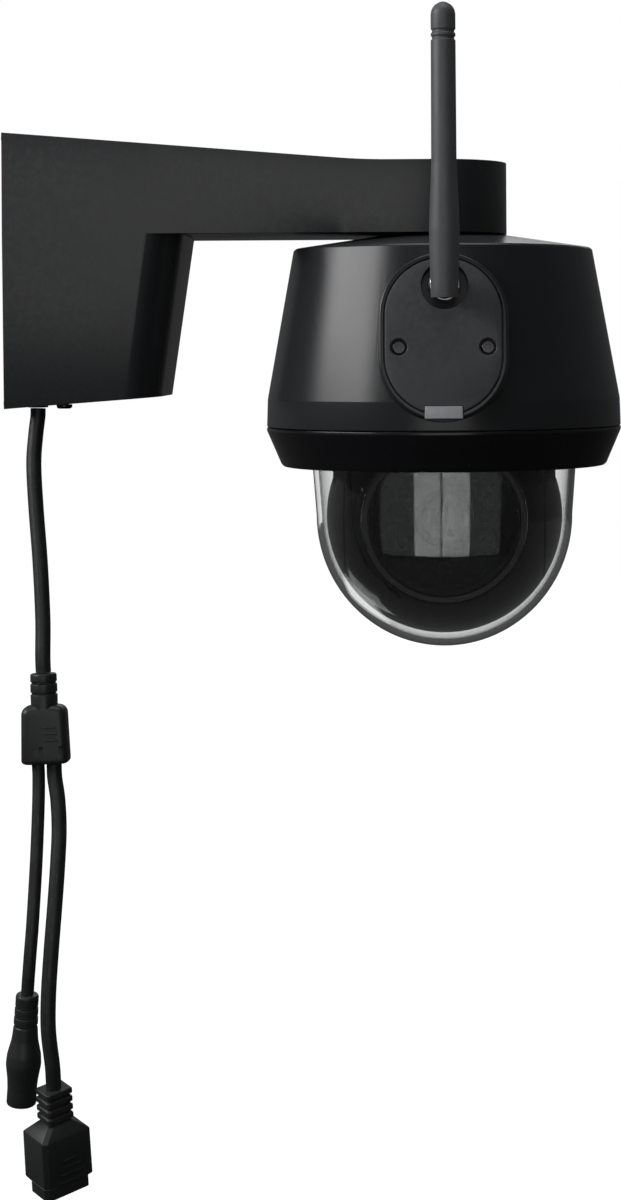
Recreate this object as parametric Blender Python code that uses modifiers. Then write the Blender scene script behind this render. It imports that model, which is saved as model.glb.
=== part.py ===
"""Outdoor pan and tilt dome camera on an L-shaped wall bracket, with a rod antenna and a cable set.

Metres, +Z up. The origin is the middle of the wall plate's back face, +X points out of the wall towards
the head, and the access cover, the antenna and the resting lens face -Y.
"""

import math

import bmesh
import bpy
from mathutils import Euler, Matrix, Vector

# Driving dimensions
GAP = 0.0003                    # clearance between neighbouring pieces
WALL = 0.0025                   # thickness of the moulded shells
HEAD_X = 0.152                  # head axis, measured from the wall

BASE_TOP = 0.0485               # bracket height at the wall
ARM_TOP = 0.0385                # top of the level end of the arm
ARM_BREAK_X = 0.1246            # where the sloping top becomes level
ARM_END_X = 0.17465
ARM_BOTTOM = 0.0134
ARM_HALF = 0.030                # half width of the bracket
ARM_CORNER = 0.024
BASE_FRONT_X = 0.06135            # base depth under the arm
BASE_LEAN = 0.144               # the base gets shallower by this much per unit of drop
BASE_BOTTOM = -0.04695           # bottom of the base at the wall
BASE_RISE = 0.0723              # slope of the base's bottom
BASE_FOOT_HALF = 0.0281
BASE_CORNER = 0.0125

RIM_R = 0.0532                  # head radius under its shallow top cone
RIM_Z = 0.00835
TOP_FLAT_R = 0.024
TOP_Z = 0.0120
KNEE_R = 0.0627
KNEE_Z = -0.0446
SEAM_R = 0.0630                 # largest radius, at the seam with the lower ring
SEAM_Z = -0.0543
FOOT_R = 0.0575
FOOT_Z = -0.0683
CONE = math.atan2(KNEE_R - RIM_R, RIM_Z - KNEE_Z)

DOME_R = 0.0456                  # at the level of the ball's centre
DOME_DROP = 0.0011               # the dome is this much deeper than it is wide
DOME_FOOT_R = 0.0472             # the short wall leans out to this radius at the flange
DOME_WALL = 0.002
BALL_Z = -0.086                 # centre of the ball and of the dome's half sphere
BALL_R = 0.042
BALL_WALL = 0.002
CHEEK_X = 0.0337                # half width of the ball between the yoke's caps
WINDOW_OUT = 0.0307             # distance of the ball's front plane from its centre

COVER_Z = -0.0229               # middle of the access cover
COVER_HALF = 0.0215             # half width of the rim round the cover
COVER_TALL = 0.0285             # half height of that rim
COVER_LIP = 0.0017              # width of the rim

JACK_X = 0.0005                  # the jack stands this far off the head's middle
JACK_Z = -0.0058                # height of the antenna's jack
ROD_Y = -0.075
ROD_TOP = 0.0855
ELBOW_R = 0.0045                 # round foot of the antenna's rod
TONGUE_R = 0.0030                # end of the base's tongue, inside the rod's foot
TONGUE_THICK = 0.0032

TOOTH = 0.0008                  # gear module
WHEEL_TEETH = 36
PINION_TEETH = 12
GEAR_APART = TOOTH * (WHEEL_TEETH + PINION_TEETH) / 2
HALF_TOOTH = 180 / WHEEL_TEETH  # turns a wheel so that a gap faces its pinion's tooth
PAN_GEAR_Z = -0.0385
TILT_GEAR_X = 0.0287

MAIN_R = 0.00265                # cable radii
DC_R = 0.0022
LAN_R = 0.0026

# Routes of the free cables, each from its top end to its bottom end
MAIN_ROUTE = [
    (0.0098, -0.0160, -0.0470), (0.0097, -0.0160, -0.0500), (0.0090, -0.0168, -0.0567),
    (0.0086, -0.0185, -0.0664), (0.0097, -0.0212, -0.0809), (0.0117, -0.0250, -0.1001),
    (0.0131, -0.0285, -0.1192), (0.0134, -0.0308, -0.1318), (0.0136, -0.0310, -0.1374),
]
DC_ROUTE = [
    (0.0118, -0.0321, -0.1690), (0.0120, -0.0323, -0.1735), (0.0121, -0.0340, -0.1835),
    (0.0118, -0.0370, -0.2010), (0.0110, -0.0400, -0.2207), (0.0103, -0.0413, -0.2315),
    (0.0097, -0.0416, -0.2395), (0.0092, -0.0410, -0.2451),
]
LAN_ROUTE = [
    (0.0173, -0.0321, -0.1690), (0.0175, -0.0323, -0.1735), (0.0188, -0.0340, -0.1810),
    (0.0195, -0.0360, -0.1910), (0.0193, -0.0386, -0.2027), (0.0187, -0.0411, -0.2154),
    (0.0178, -0.0434, -0.2300), (0.0170, -0.0449, -0.2450), (0.0170, -0.0454, -0.2570),
    (0.0181, -0.0443, -0.2691), (0.0182, -0.0427, -0.2765),
]
INNER_ROUTE = [
    (0.0098, -0.0160, -0.0402), (0.0105, -0.0165, -0.0250), (0.0140, -0.0150, 0.0050),
    (0.0300, -0.0100, 0.0230), (0.0600, -0.0030, 0.0265), (0.1000, 0.0000, 0.0285),
    (0.1300, 0.0000, 0.0310), (0.1430, 0.0000, 0.0312), (0.1500, 0.0000, 0.0260),
    (0.1520, 0.0000, 0.0150), (0.1520, 0.0000, -0.0060),
]

# The moulded pieces on the cables: the middle of the top face, then tilt towards -Y, lean to +X and spin
SPLITTER_AT = ((0.0136, -0.0310, -0.1378), (-2, -1.85, 0))
JACK_AT = ((0.0092, -0.0410, -0.2455), (6, 4.5, 0))
SOCKET_AT = ((0.0182, -0.0426, -0.2769), (12, -1, 40.4))

# Colour, roughness, metallic
FINISHES = {
    "case": ((0.030, 0.031, 0.033), 0.50, 0.0),
    "band": ((0.012, 0.012, 0.013), 0.40, 0.0),
    "cover": ((0.045, 0.046, 0.050), 0.60, 0.0),
    "antenna": ((0.050, 0.052, 0.055), 0.62, 0.0),
    "ball": ((0.008, 0.008, 0.009), 0.12, 0.0),
    "bezel": ((0.060, 0.060, 0.065), 0.35, 0.0),
    "window": ((0.010, 0.010, 0.012), 0.03, 0.0),
    "glass": ((0.90, 0.92, 0.95), 0.02, 0.0),
    "rubber": ((0.015, 0.015, 0.015), 0.80, 0.0),
    "cable": ((0.018, 0.019, 0.020), 0.45, 0.0),
    "tab": ((0.42, 0.43, 0.45), 0.45, 0.0),
    "steel": ((0.55, 0.55, 0.57), 0.30, 1.0),
    "black_steel": ((0.03, 0.03, 0.03), 0.40, 1.0),
    "alloy": ((0.65, 0.66, 0.68), 0.45, 1.0),
    "brass": ((0.78, 0.58, 0.25), 0.25, 1.0),
    "board": ((0.020, 0.120, 0.050), 0.45, 0.0),
    "gear": ((0.75, 0.74, 0.70), 0.50, 0.0),
    "inner": ((0.040, 0.040, 0.045), 0.50, 0.0),
    "chip": ((0.020, 0.020, 0.022), 0.35, 0.0),
}


def clear_scene():
    for obj in list(bpy.data.objects):
        bpy.data.objects.remove(obj)


def collection(name):
    made = bpy.data.collections.new(name)
    bpy.context.scene.collection.children.link(made)
    return made


def material(name):
    found = bpy.data.materials.get(name)
    if found:
        return found
    colour, roughness, metallic = FINISHES[name]
    made = bpy.data.materials.new(name)
    made.use_nodes = True
    shader = made.node_tree.nodes["Principled BSDF"]
    shader.inputs["Base Color"].default_value = (*colour, 1)
    shader.inputs["Roughness"].default_value = roughness
    shader.inputs["Metallic"].default_value = metallic
    if name == "glass":
        shader.inputs["Transmission Weight"].default_value = 1
    return made


def added(name, data, finish, at, turn):
    """A new object: a part when it has a finish, otherwise a hidden tool for a Boolean."""
    obj = bpy.data.objects.new(name, data)
    obj.location = at
    obj.rotation_euler = turn
    if finish:
        data.materials.append(material(finish))
        PARTS.objects.link(obj)
    else:
        obj.hide_render = True
        obj.display_type = "WIRE"
        CUTTERS.objects.link(obj)
    return obj


def from_bmesh(name, shape, finish, at, turn):
    bmesh.ops.recalc_face_normals(shape, faces=shape.faces)
    mesh = bpy.data.meshes.new(name)
    shape.to_mesh(mesh)
    shape.free()
    if finish:
        mesh.shade_smooth()
        mesh.set_sharp_from_angle(angle=math.radians(35))
    return added(name, mesh, finish, at, turn)


def box(name, size, finish=None, at=(0, 0, 0), turn=(0, 0, 0), bevel=0):
    shape = bmesh.new()
    bmesh.ops.create_cube(shape, size=1)
    bmesh.ops.scale(shape, vec=size, verts=shape.verts)
    if bevel:
        bmesh.ops.bevel(shape, geom=shape.edges[:], offset=bevel, segments=1, affect="EDGES")
    return from_bmesh(name, shape, finish, at, turn)


def rod(name, radius, length, finish=None, at=(0, 0, 0), turn=(0, 0, 0), sides=20, top=None):
    """A cylinder along its local Z, centred; top gives its upper radius when it tapers."""
    shape = bmesh.new()
    bmesh.ops.create_cone(
        shape, cap_ends=True, segments=sides, radius1=radius,
        radius2=radius if top is None else top, depth=length,
    )
    return from_bmesh(name, shape, finish, at, turn)


def turned(name, profile, finish=None, at=(0, 0, 0), turn=(0, 0, 0), sides=48):
    """A solid of revolution about local Z. The profile (radius, height) runs down its outer side."""
    mesh = bpy.data.meshes.new(name)
    count = len(profile)
    on_axis = profile[0][0] == 0 and profile[-1][0] == 0
    edges = [(i, i + 1) for i in range(count - 1)]
    if not on_axis:
        edges.append((count - 1, 0))
    mesh.from_pydata([(r, 0, z) for r, z in profile], edges, [])
    obj = added(name, mesh, finish, at, turn)
    screw = obj.modifiers.new("Turn", "SCREW")
    screw.steps = sides
    screw.render_steps = sides
    screw.use_merge_vertices = True
    screw.merge_threshold = 0.00001
    return obj


def prism(name, outlines, depth, finish=None, at=(0, 0, 0), turn=(0, 0, 0)):
    """A flat outline in local XY, with any holes as further outlines, centred on its thickness."""
    curve = bpy.data.curves.new(name, "CURVE")
    curve.dimensions = "2D"
    curve.fill_mode = "BOTH"
    curve.extrude = depth / 2
    for outline in outlines:
        spline = curve.splines.new("POLY")
        spline.points.add(len(outline) - 1)
        for point, (x, y) in zip(spline.points, outline):
            point.co = (x, y, 0, 1)
        spline.use_cyclic_u = True
    return as_mesh(added(name, curve, finish, at, turn))


def as_mesh(obj):
    """The same piece as a welded mesh, so that it can be cut and joined."""
    graph = bpy.context.evaluated_depsgraph_get()
    mesh = bpy.data.meshes.new_from_object(obj.evaluated_get(graph))
    shape = bmesh.new()
    shape.from_mesh(mesh)
    bmesh.ops.remove_doubles(shape, verts=shape.verts, dist=0.000001)
    bmesh.ops.recalc_face_normals(shape, faces=shape.faces)
    shape.to_mesh(mesh)
    shape.free()
    name = obj.name
    place = obj.matrix_basis.copy()
    holder = obj.users_collection[0]
    hidden = obj.hide_render
    bpy.data.objects.remove(obj)
    made = bpy.data.objects.new(name, mesh)
    made.matrix_world = place
    made.hide_render = hidden
    made.display_type = "WIRE" if hidden else "TEXTURED"
    holder.objects.link(made)
    return made


def arc(radius, start, stop, steps, middle=(0, 0)):
    """Points on an arc, from one angle to another in degrees."""
    points = []
    for i in range(steps + 1):
        angle = math.radians(start + (stop - start) * i / steps)
        points.append((middle[0] + radius * math.cos(angle), middle[1] + radius * math.sin(angle)))
    return points


def stadium(half_width, half_height, steps=10, middle_y=0):
    """An upright stadium outline."""
    straight = half_height - half_width
    top = arc(half_width, 0, 180, steps, (0, middle_y + straight))
    bottom = arc(half_width, 180, 360, steps, (0, middle_y - straight))
    return top + bottom


def rectangle(width, height, middle=(0, 0)):
    x, y = middle
    return [
        (x + width / 2, y + height / 2), (x - width / 2, y + height / 2),
        (x - width / 2, y - height / 2), (x + width / 2, y - height / 2),
    ]


def boolean(body, operation, others):
    for other in others:
        step = body.modifiers.new(operation.title(), "BOOLEAN")
        step.operation = operation
        step.object = other
    return body


def cut(body, *others):
    return boolean(body, "DIFFERENCE", others)


def join(body, *others):
    return boolean(body, "UNION", others)


def hanging(where):
    """The frame of a piece on a cable, as a matrix, from its place and its tilt, lean and spin in degrees."""
    top, (tilt, lean, spin) = where
    turn = (
        Matrix.Rotation(math.radians(tilt), 4, "X") @ Matrix.Rotation(math.radians(lean), 4, "Y")
        @ Matrix.Rotation(math.radians(spin), 4, "Z")
    )
    return Matrix.Translation(top) @ turn


def pivot(name, at, parent=None):
    """An empty on a joint's axis, which carries the pieces that turn or slide there."""
    empty = bpy.data.objects.new(name, None)
    empty.empty_display_size = 0.01
    PARTS.objects.link(empty)
    empty.location = at
    hang(empty, parent)
    return empty


def hang(obj, parent):
    """Parents obj and leaves it where it is."""
    if parent:
        bpy.context.view_layer.update()
        obj.parent = parent
        obj.matrix_parent_inverse = parent.matrix_world.inverted()


def from_head(x, y, z):
    return Vector((HEAD_X + x, y, z))


def on_jack(y, z=JACK_Z):
    """A place on the antenna jack's axis, or above or below it."""
    return from_head(JACK_X, y, z)


# These turn local Z to -Y, which the access cover faces, and to +X
TO_FRONT = (math.radians(90), 0, 0)
TO_SIDE = (0, math.radians(90), 0)

# The access cover's own frame: X across, Y up the cone, Z out of it
COVER_TURN = (math.radians(90) - CONE, 0, 0)
COVER_ORIGIN = from_head(0, -(RIM_R + (RIM_Z - COVER_Z) * math.tan(CONE)), COVER_Z)
COVER_FRAME = Matrix.Translation(COVER_ORIGIN) @ Euler(COVER_TURN).to_matrix().to_4x4()


def on_cover(x, y, z):
    return COVER_FRAME @ Vector((x, y, z))


# Bracket

def bracket_volumes(inset, rear, finish=None):
    """The arm and the base of the bracket, drawn in by inset, each as a closed solid."""
    slope = (BASE_TOP - ARM_TOP) / ARM_BREAK_X
    tall = BASE_TOP - rear * slope - inset
    side = [
        (rear, tall), (ARM_BREAK_X, ARM_TOP - inset), (ARM_END_X - inset, ARM_TOP - inset),
        (ARM_END_X - inset, ARM_BOTTOM + inset), (rear, ARM_BOTTOM + inset),
    ]
    shape = bmesh.new()
    half = ARM_HALF - inset
    near = [shape.verts.new((x, -half, z)) for x, z in side]
    far = [shape.verts.new((x, half, z)) for x, z in side]
    shape.faces.new(near)
    shape.faces.new(far)
    for i in range(len(side)):
        j = (i + 1) % len(side)
        shape.faces.new((near[i], near[j], far[j], far[i]))
    corners = [shape.edges.get((ring[2], ring[3])) for ring in (near, far)]
    bmesh.ops.bevel(
        shape, geom=corners, offset=ARM_CORNER - inset, segments=8, profile=0.5, affect="EDGES",
    )
    arm = from_bmesh("bracket_shell" if finish else "arm_hollow", shape, finish, (0, 0, 0), (0, 0, 0))

    shape = bmesh.new()
    bmesh.ops.create_cube(shape, size=2)
    top = ARM_BOTTOM + 0.006
    for vert in shape.verts:
        upper = vert.co.z > 0
        front = vert.co.x > 0
        half = (ARM_HALF - 0.0001 if upper else BASE_FOOT_HALF) - inset
        if upper:
            z = top
        else:
            reach = BASE_FRONT_X - 0.0565 * BASE_LEAN if front else rear
            z = BASE_BOTTOM + BASE_RISE * reach + inset
        x = BASE_FRONT_X - (ARM_BOTTOM - z) * BASE_LEAN - inset if front else rear
        vert.co = Vector((x, math.copysign(half, vert.co.y), z))
    fronts = [
        edge for edge in shape.edges
        if min(v.co.x for v in edge.verts) > 0.03 and abs(edge.verts[0].co.z - edge.verts[1].co.z) > 0.02
    ]
    bmesh.ops.bevel(
        shape, geom=fronts, offset=BASE_CORNER - inset, segments=6, profile=0.5, affect="EDGES",
    )
    base = from_bmesh("base_block" if not inset else "base_hollow", shape, None, (0, 0, 0), (0, 0, 0))
    return arm, base


def build_bracket():
    shell, base = bracket_volumes(0, -0.004, "case")
    arm_hollow, base_hollow = bracket_volumes(WALL, -0.008)
    join(shell, base)
    cut(
        shell, arm_hollow, base_hollow,
        box("behind_wall", (0.02, 0.08, 0.12), at=(-0.01 + GAP, 0, 0)),
        rod("neck_way", 0.0109, 0.012, at=from_head(0, 0, 0.0150), sides=32),
        rod("gland_way", 0.0038, 0.012, at=(0.0098, -0.016, BASE_BOTTOM), sides=20),
        rod("lock_way", 0.0018, 0.012, at=(0.0165, 0, BASE_BOTTOM), sides=16),
    )

    plate = box("wall_plate", (0.0025, 0.0500, 0.0880), "steel", at=(0.00125, 0, 0.0008))
    join(
        plate,
        box("lock_lug", (0.0230, 0.012, 0.002), at=(0.0130, 0, -0.0400)),
        box("top_lug", (0.0080, 0.028, 0.002), at=(0.0055, 0, 0.0432)),
    )
    for y in (-0.019, 0.019):
        for z in (-0.031, 0.033):
            cut(plate, rod("plate_hole", 0.0025, 0.01, at=(0, y, z), turn=TO_SIDE, sides=16))
    cut(plate, rod("lug_hole", 0.0018, 0.01, at=(0.0165, 0, -0.0400), sides=16))

    lock_z = BASE_BOTTOM + BASE_RISE * 0.0165
    turned("locking_screw", [
        (0, -0.0375), (0.0015, -0.0375), (0.0015, lock_z - GAP), (0.0028, lock_z - GAP),
        (0.0028, lock_z - 0.0012), (0.0022, lock_z - 0.0018), (0.0013, lock_z - 0.0018),
        (0.0013, lock_z - 0.0010), (0, lock_z - 0.0010),
    ], "black_steel", at=(0.0165, 0, 0), sides=14)

    foot = MAIN_ROUTE[0][2] + GAP
    turned("cable_gland", [
        (0, -0.0409), (0.0052, -0.0409), (0.0052, -0.0427), (0.0035, -0.0427), (0.0035, foot), (0, foot),
    ], "rubber", at=(0.0098, -0.016, 0), sides=24)

    hexagon = [arc(0.0160, 0, 300, 5), arc(0.0108, 360, 15, 23)]
    prism("neck_nut", hexagon, 0.005, "alloy", at=from_head(0, 0, 0.0190))
    turned("neck_seal", [
        (0.0120, 0.0131), (0.0204, 0.0131), (0.0204, 0.0117), (0.0120, 0.0117),
    ], "rubber", at=from_head(0, 0, 0), sides=28)


# Head casing

def service_way(name, depth, middle):
    """The opening under the access cover, for the memory card and the reset button."""
    return box(name, (0.022, 0.022, depth), at=on_cover(0, -0.011, middle), turn=COVER_TURN)


def build_housing():
    inner = WALL / math.cos(CONE)
    profile = [
        (0.0075, 0.0270), (0.0105, 0.0270), (0.0105, 0.0114), (0.0210, 0.0114), (0.0210, TOP_Z),
        (TOP_FLAT_R, TOP_Z), (RIM_R - 0.0010, RIM_Z + 0.0002), (RIM_R, RIM_Z - 0.0006),
        (KNEE_R, KNEE_Z), (SEAM_R, SEAM_Z), (0.0602, SEAM_Z), (KNEE_R - inner, KNEE_Z),
        (RIM_R - inner, RIM_Z - 0.0026), (0.0490, 0.0062), (0.0240, 0.0095), (0.0075, 0.0088),
    ]
    housing = turned("head_housing", profile, "case", at=from_head(0, 0, 0), sides=40)

    boss = prism("cover_boss", [stadium(COVER_HALF, COVER_TALL)], 0.0107,
                 at=on_cover(0, 0, -0.00365), turn=COVER_TURN)
    for vert in boss.data.vertices:
        if vert.co.z > 0:
            vert.co.x *= 0.965
            vert.co.y *= 0.972
    pocket = prism("cover_pocket", [stadium(COVER_HALF - COVER_LIP, COVER_TALL - COVER_LIP)], 0.010,
                   at=on_cover(0, 0, 0.0028), turn=COVER_TURN)
    join(housing, boss)
    cut(
        housing, pocket, service_way("service_way", 0.030, 0),
        rod("jack_way", 0.0035, 0.030, at=on_jack(-0.050), turn=TO_FRONT, sides=20),
        box("tab_way", (0.0131, 0.010, 0.004), at=on_cover(0, -0.0286, 0.0023), turn=COVER_TURN),
    )
    for x in (-0.0148, 0.0148):
        cut(housing, rod("cover_thread", 0.0016, 0.0080, at=on_cover(x, -0.0038, -0.0044),
                         turn=COVER_TURN, sides=14))


RING_SCREWS = (90, 210, 330)
RING_SCREW_R = 0.0540


def around(radius, angle, z):
    turn = math.radians(angle)
    return from_head(radius * math.cos(turn), radius * math.sin(turn), z)


def build_lower_ring():
    top = SEAM_Z - GAP
    ring = turned("lower_ring", [
        (0.0572, top + 0.0025), (0.0598, top + 0.0025), (0.0598, top), (SEAM_R, top),
        (SEAM_R, top - 0.0008), (FOOT_R + 0.0004, FOOT_Z + 0.0006), (FOOT_R - 0.0003, FOOT_Z),
        (0.0479, FOOT_Z), (0.0477, FOOT_Z + 0.0003), (0.0477, -0.0649), (0.0510, -0.0649),
        (0.0510, top), (0.0572, top),
    ], "band", at=from_head(0, 0, 0), sides=40)
    for number, angle in enumerate(RING_SCREWS, 1):
        cut(
            ring,
            rod("ring_screw_way", 0.0018, 0.030, at=around(RING_SCREW_R, angle, -0.060), sides=14),
            rod("ring_screw_sink", 0.0030, 0.010, at=around(RING_SCREW_R, angle, -0.070), sides=18),
        )
        turned(f"ring_screw_{number}", [
            (0, -0.0470), (0.0013, -0.0470), (0.0013, -0.0653), (0.0027, -0.0653), (0.0027, -0.0668),
            (0.0024, -0.0672), (0.0012, -0.0672), (0.0012, -0.0662), (0, -0.0662),
        ], "black_steel", at=around(RING_SCREW_R, angle, 0), sides=12)


def build_dome():
    steps = 7

    def bowl(inset):
        """Half of the round end, from the level of the ball's centre down to its lowest point."""
        wide, deep = DOME_R - inset, DOME_R + DOME_DROP - inset
        points = [(r * wide, BALL_Z + z * deep) for r, z in arc(1, 0, -90, steps)]
        points[-1] = (0, BALL_Z - deep)
        return points

    flange_top, flange_foot = -0.0626, -0.0646
    profile = bowl(DOME_WALL)[::-1] + [
        (DOME_FOOT_R - DOME_WALL, flange_top), (0.0506, flange_top), (0.0506, flange_foot),
        (DOME_FOOT_R, flange_foot),
    ] + bowl(0)
    turned("clear_dome", profile, "glass", at=from_head(0, 0, 0), sides=36)
    turned("dome_seal", [
        (0.0469, -0.0613), (0.0506, -0.0613), (0.0506, -0.0623), (0.0469, -0.0623),
    ], "rubber", at=from_head(0, 0, 0), sides=28)


def build_access_cover():
    half, tall = COVER_HALF - COVER_LIP - GAP, COVER_TALL - COVER_LIP - GAP
    cover = prism("access_cover", [stadium(half, tall)], 0.0028, "cover",
                  at=on_cover(0, 0, 0.0004), turn=COVER_TURN)
    cut(
        cover,
        rod("antenna_recess", 0.0080, 0.030, at=on_jack(-0.060), turn=TO_FRONT, sides=32),
        box("tab_notch", (0.0131, 0.010, 0.004), at=on_cover(0, -0.0286, 0.0023), turn=COVER_TURN),
    )
    for side, x in (("left", -0.0148), ("right", 0.0148)):
        cut(
            cover,
            rod("cover_screw_way", 0.0016, 0.010, at=on_cover(x, -0.0038, 0), turn=COVER_TURN, sides=14),
            rod("cover_screw_sink", 0.0028, 0.0040, at=on_cover(x, -0.0038, 0.0020),
                turn=COVER_TURN, sides=24),
        )
        turned(f"cover_screw_{side}", [
            (0, 0.0005), (0.0012, 0.0005), (0.0012, 0.0013), (0.0022, 0.0013), (0.0024, 0.0010),
            (0.0024, 0.0003), (0.0013, 0.0003), (0.0013, -0.0075), (0, -0.0075),
        ], "black_steel", at=on_cover(x, -0.0038, 0), turn=COVER_TURN, sides=14)
    box("cover_tab", (0.0125, 0.0042, 0.0014), "tab", at=on_cover(0, -0.02585, 0.0013),
        turn=COVER_TURN, bevel=0.0002)
    prism("cover_gasket", [
        stadium(half, tall, 8), rectangle(0.0226, 0.0226, (0, -0.011)),
        arc(0.0086, 0, 345, 23, (JACK_X, (JACK_Z - COVER_Z) / math.cos(CONE))),
        arc(0.0019, 0, 330, 11, (-0.0148, -0.0038)), arc(0.0019, 0, 330, 11, (0.0148, -0.0038)),
    ], 0.0006, "rubber", at=on_cover(0, 0, -0.0016), turn=COVER_TURN)


def build_service_bay(root_button):
    box("service_board", (0.030, 0.030, 0.0012), "board", at=on_cover(0, -0.011, -0.0099), turn=COVER_TURN)
    socket = box("card_socket", (0.0128, 0.0145, 0.0024), "alloy", at=on_cover(-0.0040, -0.0138, -0.0078),
                 turn=COVER_TURN)
    cut(socket, box("card_slot", (0.0112, 0.020, 0.0010), at=on_cover(-0.0040, -0.0080, -0.0078),
                    turn=COVER_TURN))
    switch = box("reset_switch", (0.0054, 0.0054, 0.0030), "chip", at=on_cover(0.0068, -0.0080, -0.0075),
                 turn=COVER_TURN)
    cut(switch, rod("button_way", 0.0020, 0.0040, at=on_cover(0.0068, -0.0080, -0.0058), turn=COVER_TURN,
                    sides=16))
    button = rod("reset_button", 0.0017, 0.0026, "tab", at=on_cover(0.0068, -0.0080, -0.0057),
                 turn=COVER_TURN, sides=16)
    hang(button, root_button)


# Antenna

def build_antenna():
    turned("antenna_jack", [
        (0, 0.0140), (0.0013, 0.0140), (0.0013, 0.0110), (0.0032, 0.0110), (0.0032, -0.0047),
        (0.0052, -0.0047), (0.0052, -0.0066), (0, -0.0066),
    ], "brass", at=on_jack(-0.050), turn=TO_FRONT, sides=20)
    prism("jack_nut", [arc(0.0054, 0, 342, 19), arc(0.0035, 0, 340, 17)], 0.0018, "steel",
          at=on_jack(-0.0559), turn=TO_FRONT)

    swivel = pivot("antenna_swivel", on_jack(-0.0600))
    base = turned("antenna_base", [
        (0, 0.0095), (0.0040, 0.0095), (0.0046, 0.0089), (0.0046, -0.0020), (0.0042, -0.0030),
        (0.0035, -0.0030), (0.0035, 0.0045), (0, 0.0045),
    ], "antenna", at=on_jack(-0.0600), turn=TO_FRONT, sides=20)
    elbow = on_jack(ROD_Y)
    pin_way = 0.0014
    join(
        base,
        box("tongue", (TONGUE_THICK, 0.0070, 2 * TONGUE_R), at=on_jack(ROD_Y + 0.0035)),
        rod("tongue_end", TONGUE_R, TONGUE_THICK, at=elbow, turn=TO_SIDE, sides=20),
    )
    cut(base, rod("tongue_hole", pin_way, 0.020, at=elbow, turn=TO_SIDE, sides=14))
    hang(base, swivel)
    hang(rod("antenna_pin", 0.0011, 0.0084, "steel", at=elbow, turn=TO_SIDE, sides=14), swivel)

    tilt = pivot("antenna_tilt", elbow, swivel)
    lift = -JACK_Z
    groove = [(0.00398, 0.0787 + lift), (0.0036, 0.0783 + lift), (0.0036, 0.0776 + lift),
              (0.00398, 0.0772 + lift)]
    second = [(r, z - 0.0022) for r, z in groove]
    top = ROD_TOP + lift
    tip = [(0, top), (0.0022, top - 0.0002), (0.0034, top - 0.0010), (0.00395, top - 0.0026)]
    mast = turned("antenna_rod", tip + groove + second + [
        (0.0041, 0.0336 + lift), (0.0047, 0.0180 + lift), (0.0049, 0.0136 + lift),
        (ELBOW_R, 0), (ELBOW_R, -ELBOW_R), (0, -ELBOW_R),
    ], "antenna", at=elbow, sides=16)
    outline = rod("foot_round", ELBOW_R, 0.020, at=elbow, turn=TO_SIDE, sides=24)
    join(outline, box("above_foot", (0.020, 0.020, 0.100), at=on_jack(ROD_Y, JACK_Z + 0.050)))
    boolean(mast, "INTERSECT", [outline])
    slot = TONGUE_R + GAP
    cut(
        mast,
        box("tongue_way", (TONGUE_THICK + 2 * GAP, 0.010, 0.010),
            at=on_jack(ROD_Y + 0.005 - slot, JACK_Z - 0.005 + slot)),
        rod("pin_way", pin_way, 0.020, at=elbow, turn=TO_SIDE, sides=14),
    )
    hang(mast, tilt)


# Pan drive, on the head's axis

def gear_outline(teeth, phase=0):
    """Tooth flanks as straight lines between root and tip, thinned to leave backlash."""
    pitch_r = TOOTH * teeth / 2
    root_r, tip_r = pitch_r - 1.15 * TOOTH, pitch_r + 0.85 * TOOTH
    step = 360 / teeth
    points = []
    for i in range(teeth):
        middle = phase + i * step
        for radius, share in ((root_r, -0.36), (tip_r, -0.12), (tip_r, 0.12), (root_r, 0.36)):
            angle = math.radians(middle + share * step)
            points.append((radius * math.cos(angle), radius * math.sin(angle)))
    return points


def bore(radius, sides=24):
    return arc(radius, 0, 360 * (sides - 1) / sides, sides - 1)


def build_chassis():
    chassis = turned("chassis", [
        (0.0113, -0.0337), (0.0570, -0.0337), (0.0570, -0.0362), (0.0500, -0.0362), (0.0500, -0.0610),
        (0.0472, -0.0610), (0.0472, -0.0362), (0.0113, -0.0362),
    ], "inner", at=from_head(0, 0, 0), sides=28)
    for angle in RING_SCREWS:
        post = rod("ring_post", 0.0030, 0.0193, at=around(RING_SCREW_R, angle, -0.04465), sides=14)
        join(chassis, post)
        cut(chassis, rod("post_thread", 0.0016, 0.0090, at=around(RING_SCREW_R, angle, -0.0508), sides=12))
    for angle in (30, 150, 270):
        join(chassis, rod("board_post", 0.0025, 0.0251, at=around(0.038, angle, -0.02245), sides=12))
    cut(
        chassis,
        box("service_notch", (0.048, 0.020, 0.010), at=from_head(0, -0.0562, -0.035)),
        rod("motor_way", 0.0040, 0.010, at=from_head(0, GEAR_APART, -0.035), sides=20),
    )

    board = rod("main_board", 0.0420, 0.0016, "board", at=from_head(0, 0, -0.0088), sides=40)
    join(
        board,
        box("main_chip", (0.013, 0.013, 0.0016), at=from_head(0.018, -0.016, -0.0074)),
        box("radio_can", (0.016, 0.012, 0.0026), at=from_head(-0.016, -0.018, -0.0070)),
        box("cable_header", (0.009, 0.004, 0.0040), at=from_head(0.012, 0.004, -0.0062)),
    )
    sink = box("heat_sink", (0.030, 0.022, 0.0025), "alloy", at=from_head(-0.012, 0.020, -0.00645))
    for row in range(6):
        join(sink, box("fin", (0.0016, 0.022, 0.0075), at=from_head(-0.0254 + row * 0.00536, 0.020, -0.0017)))


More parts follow.
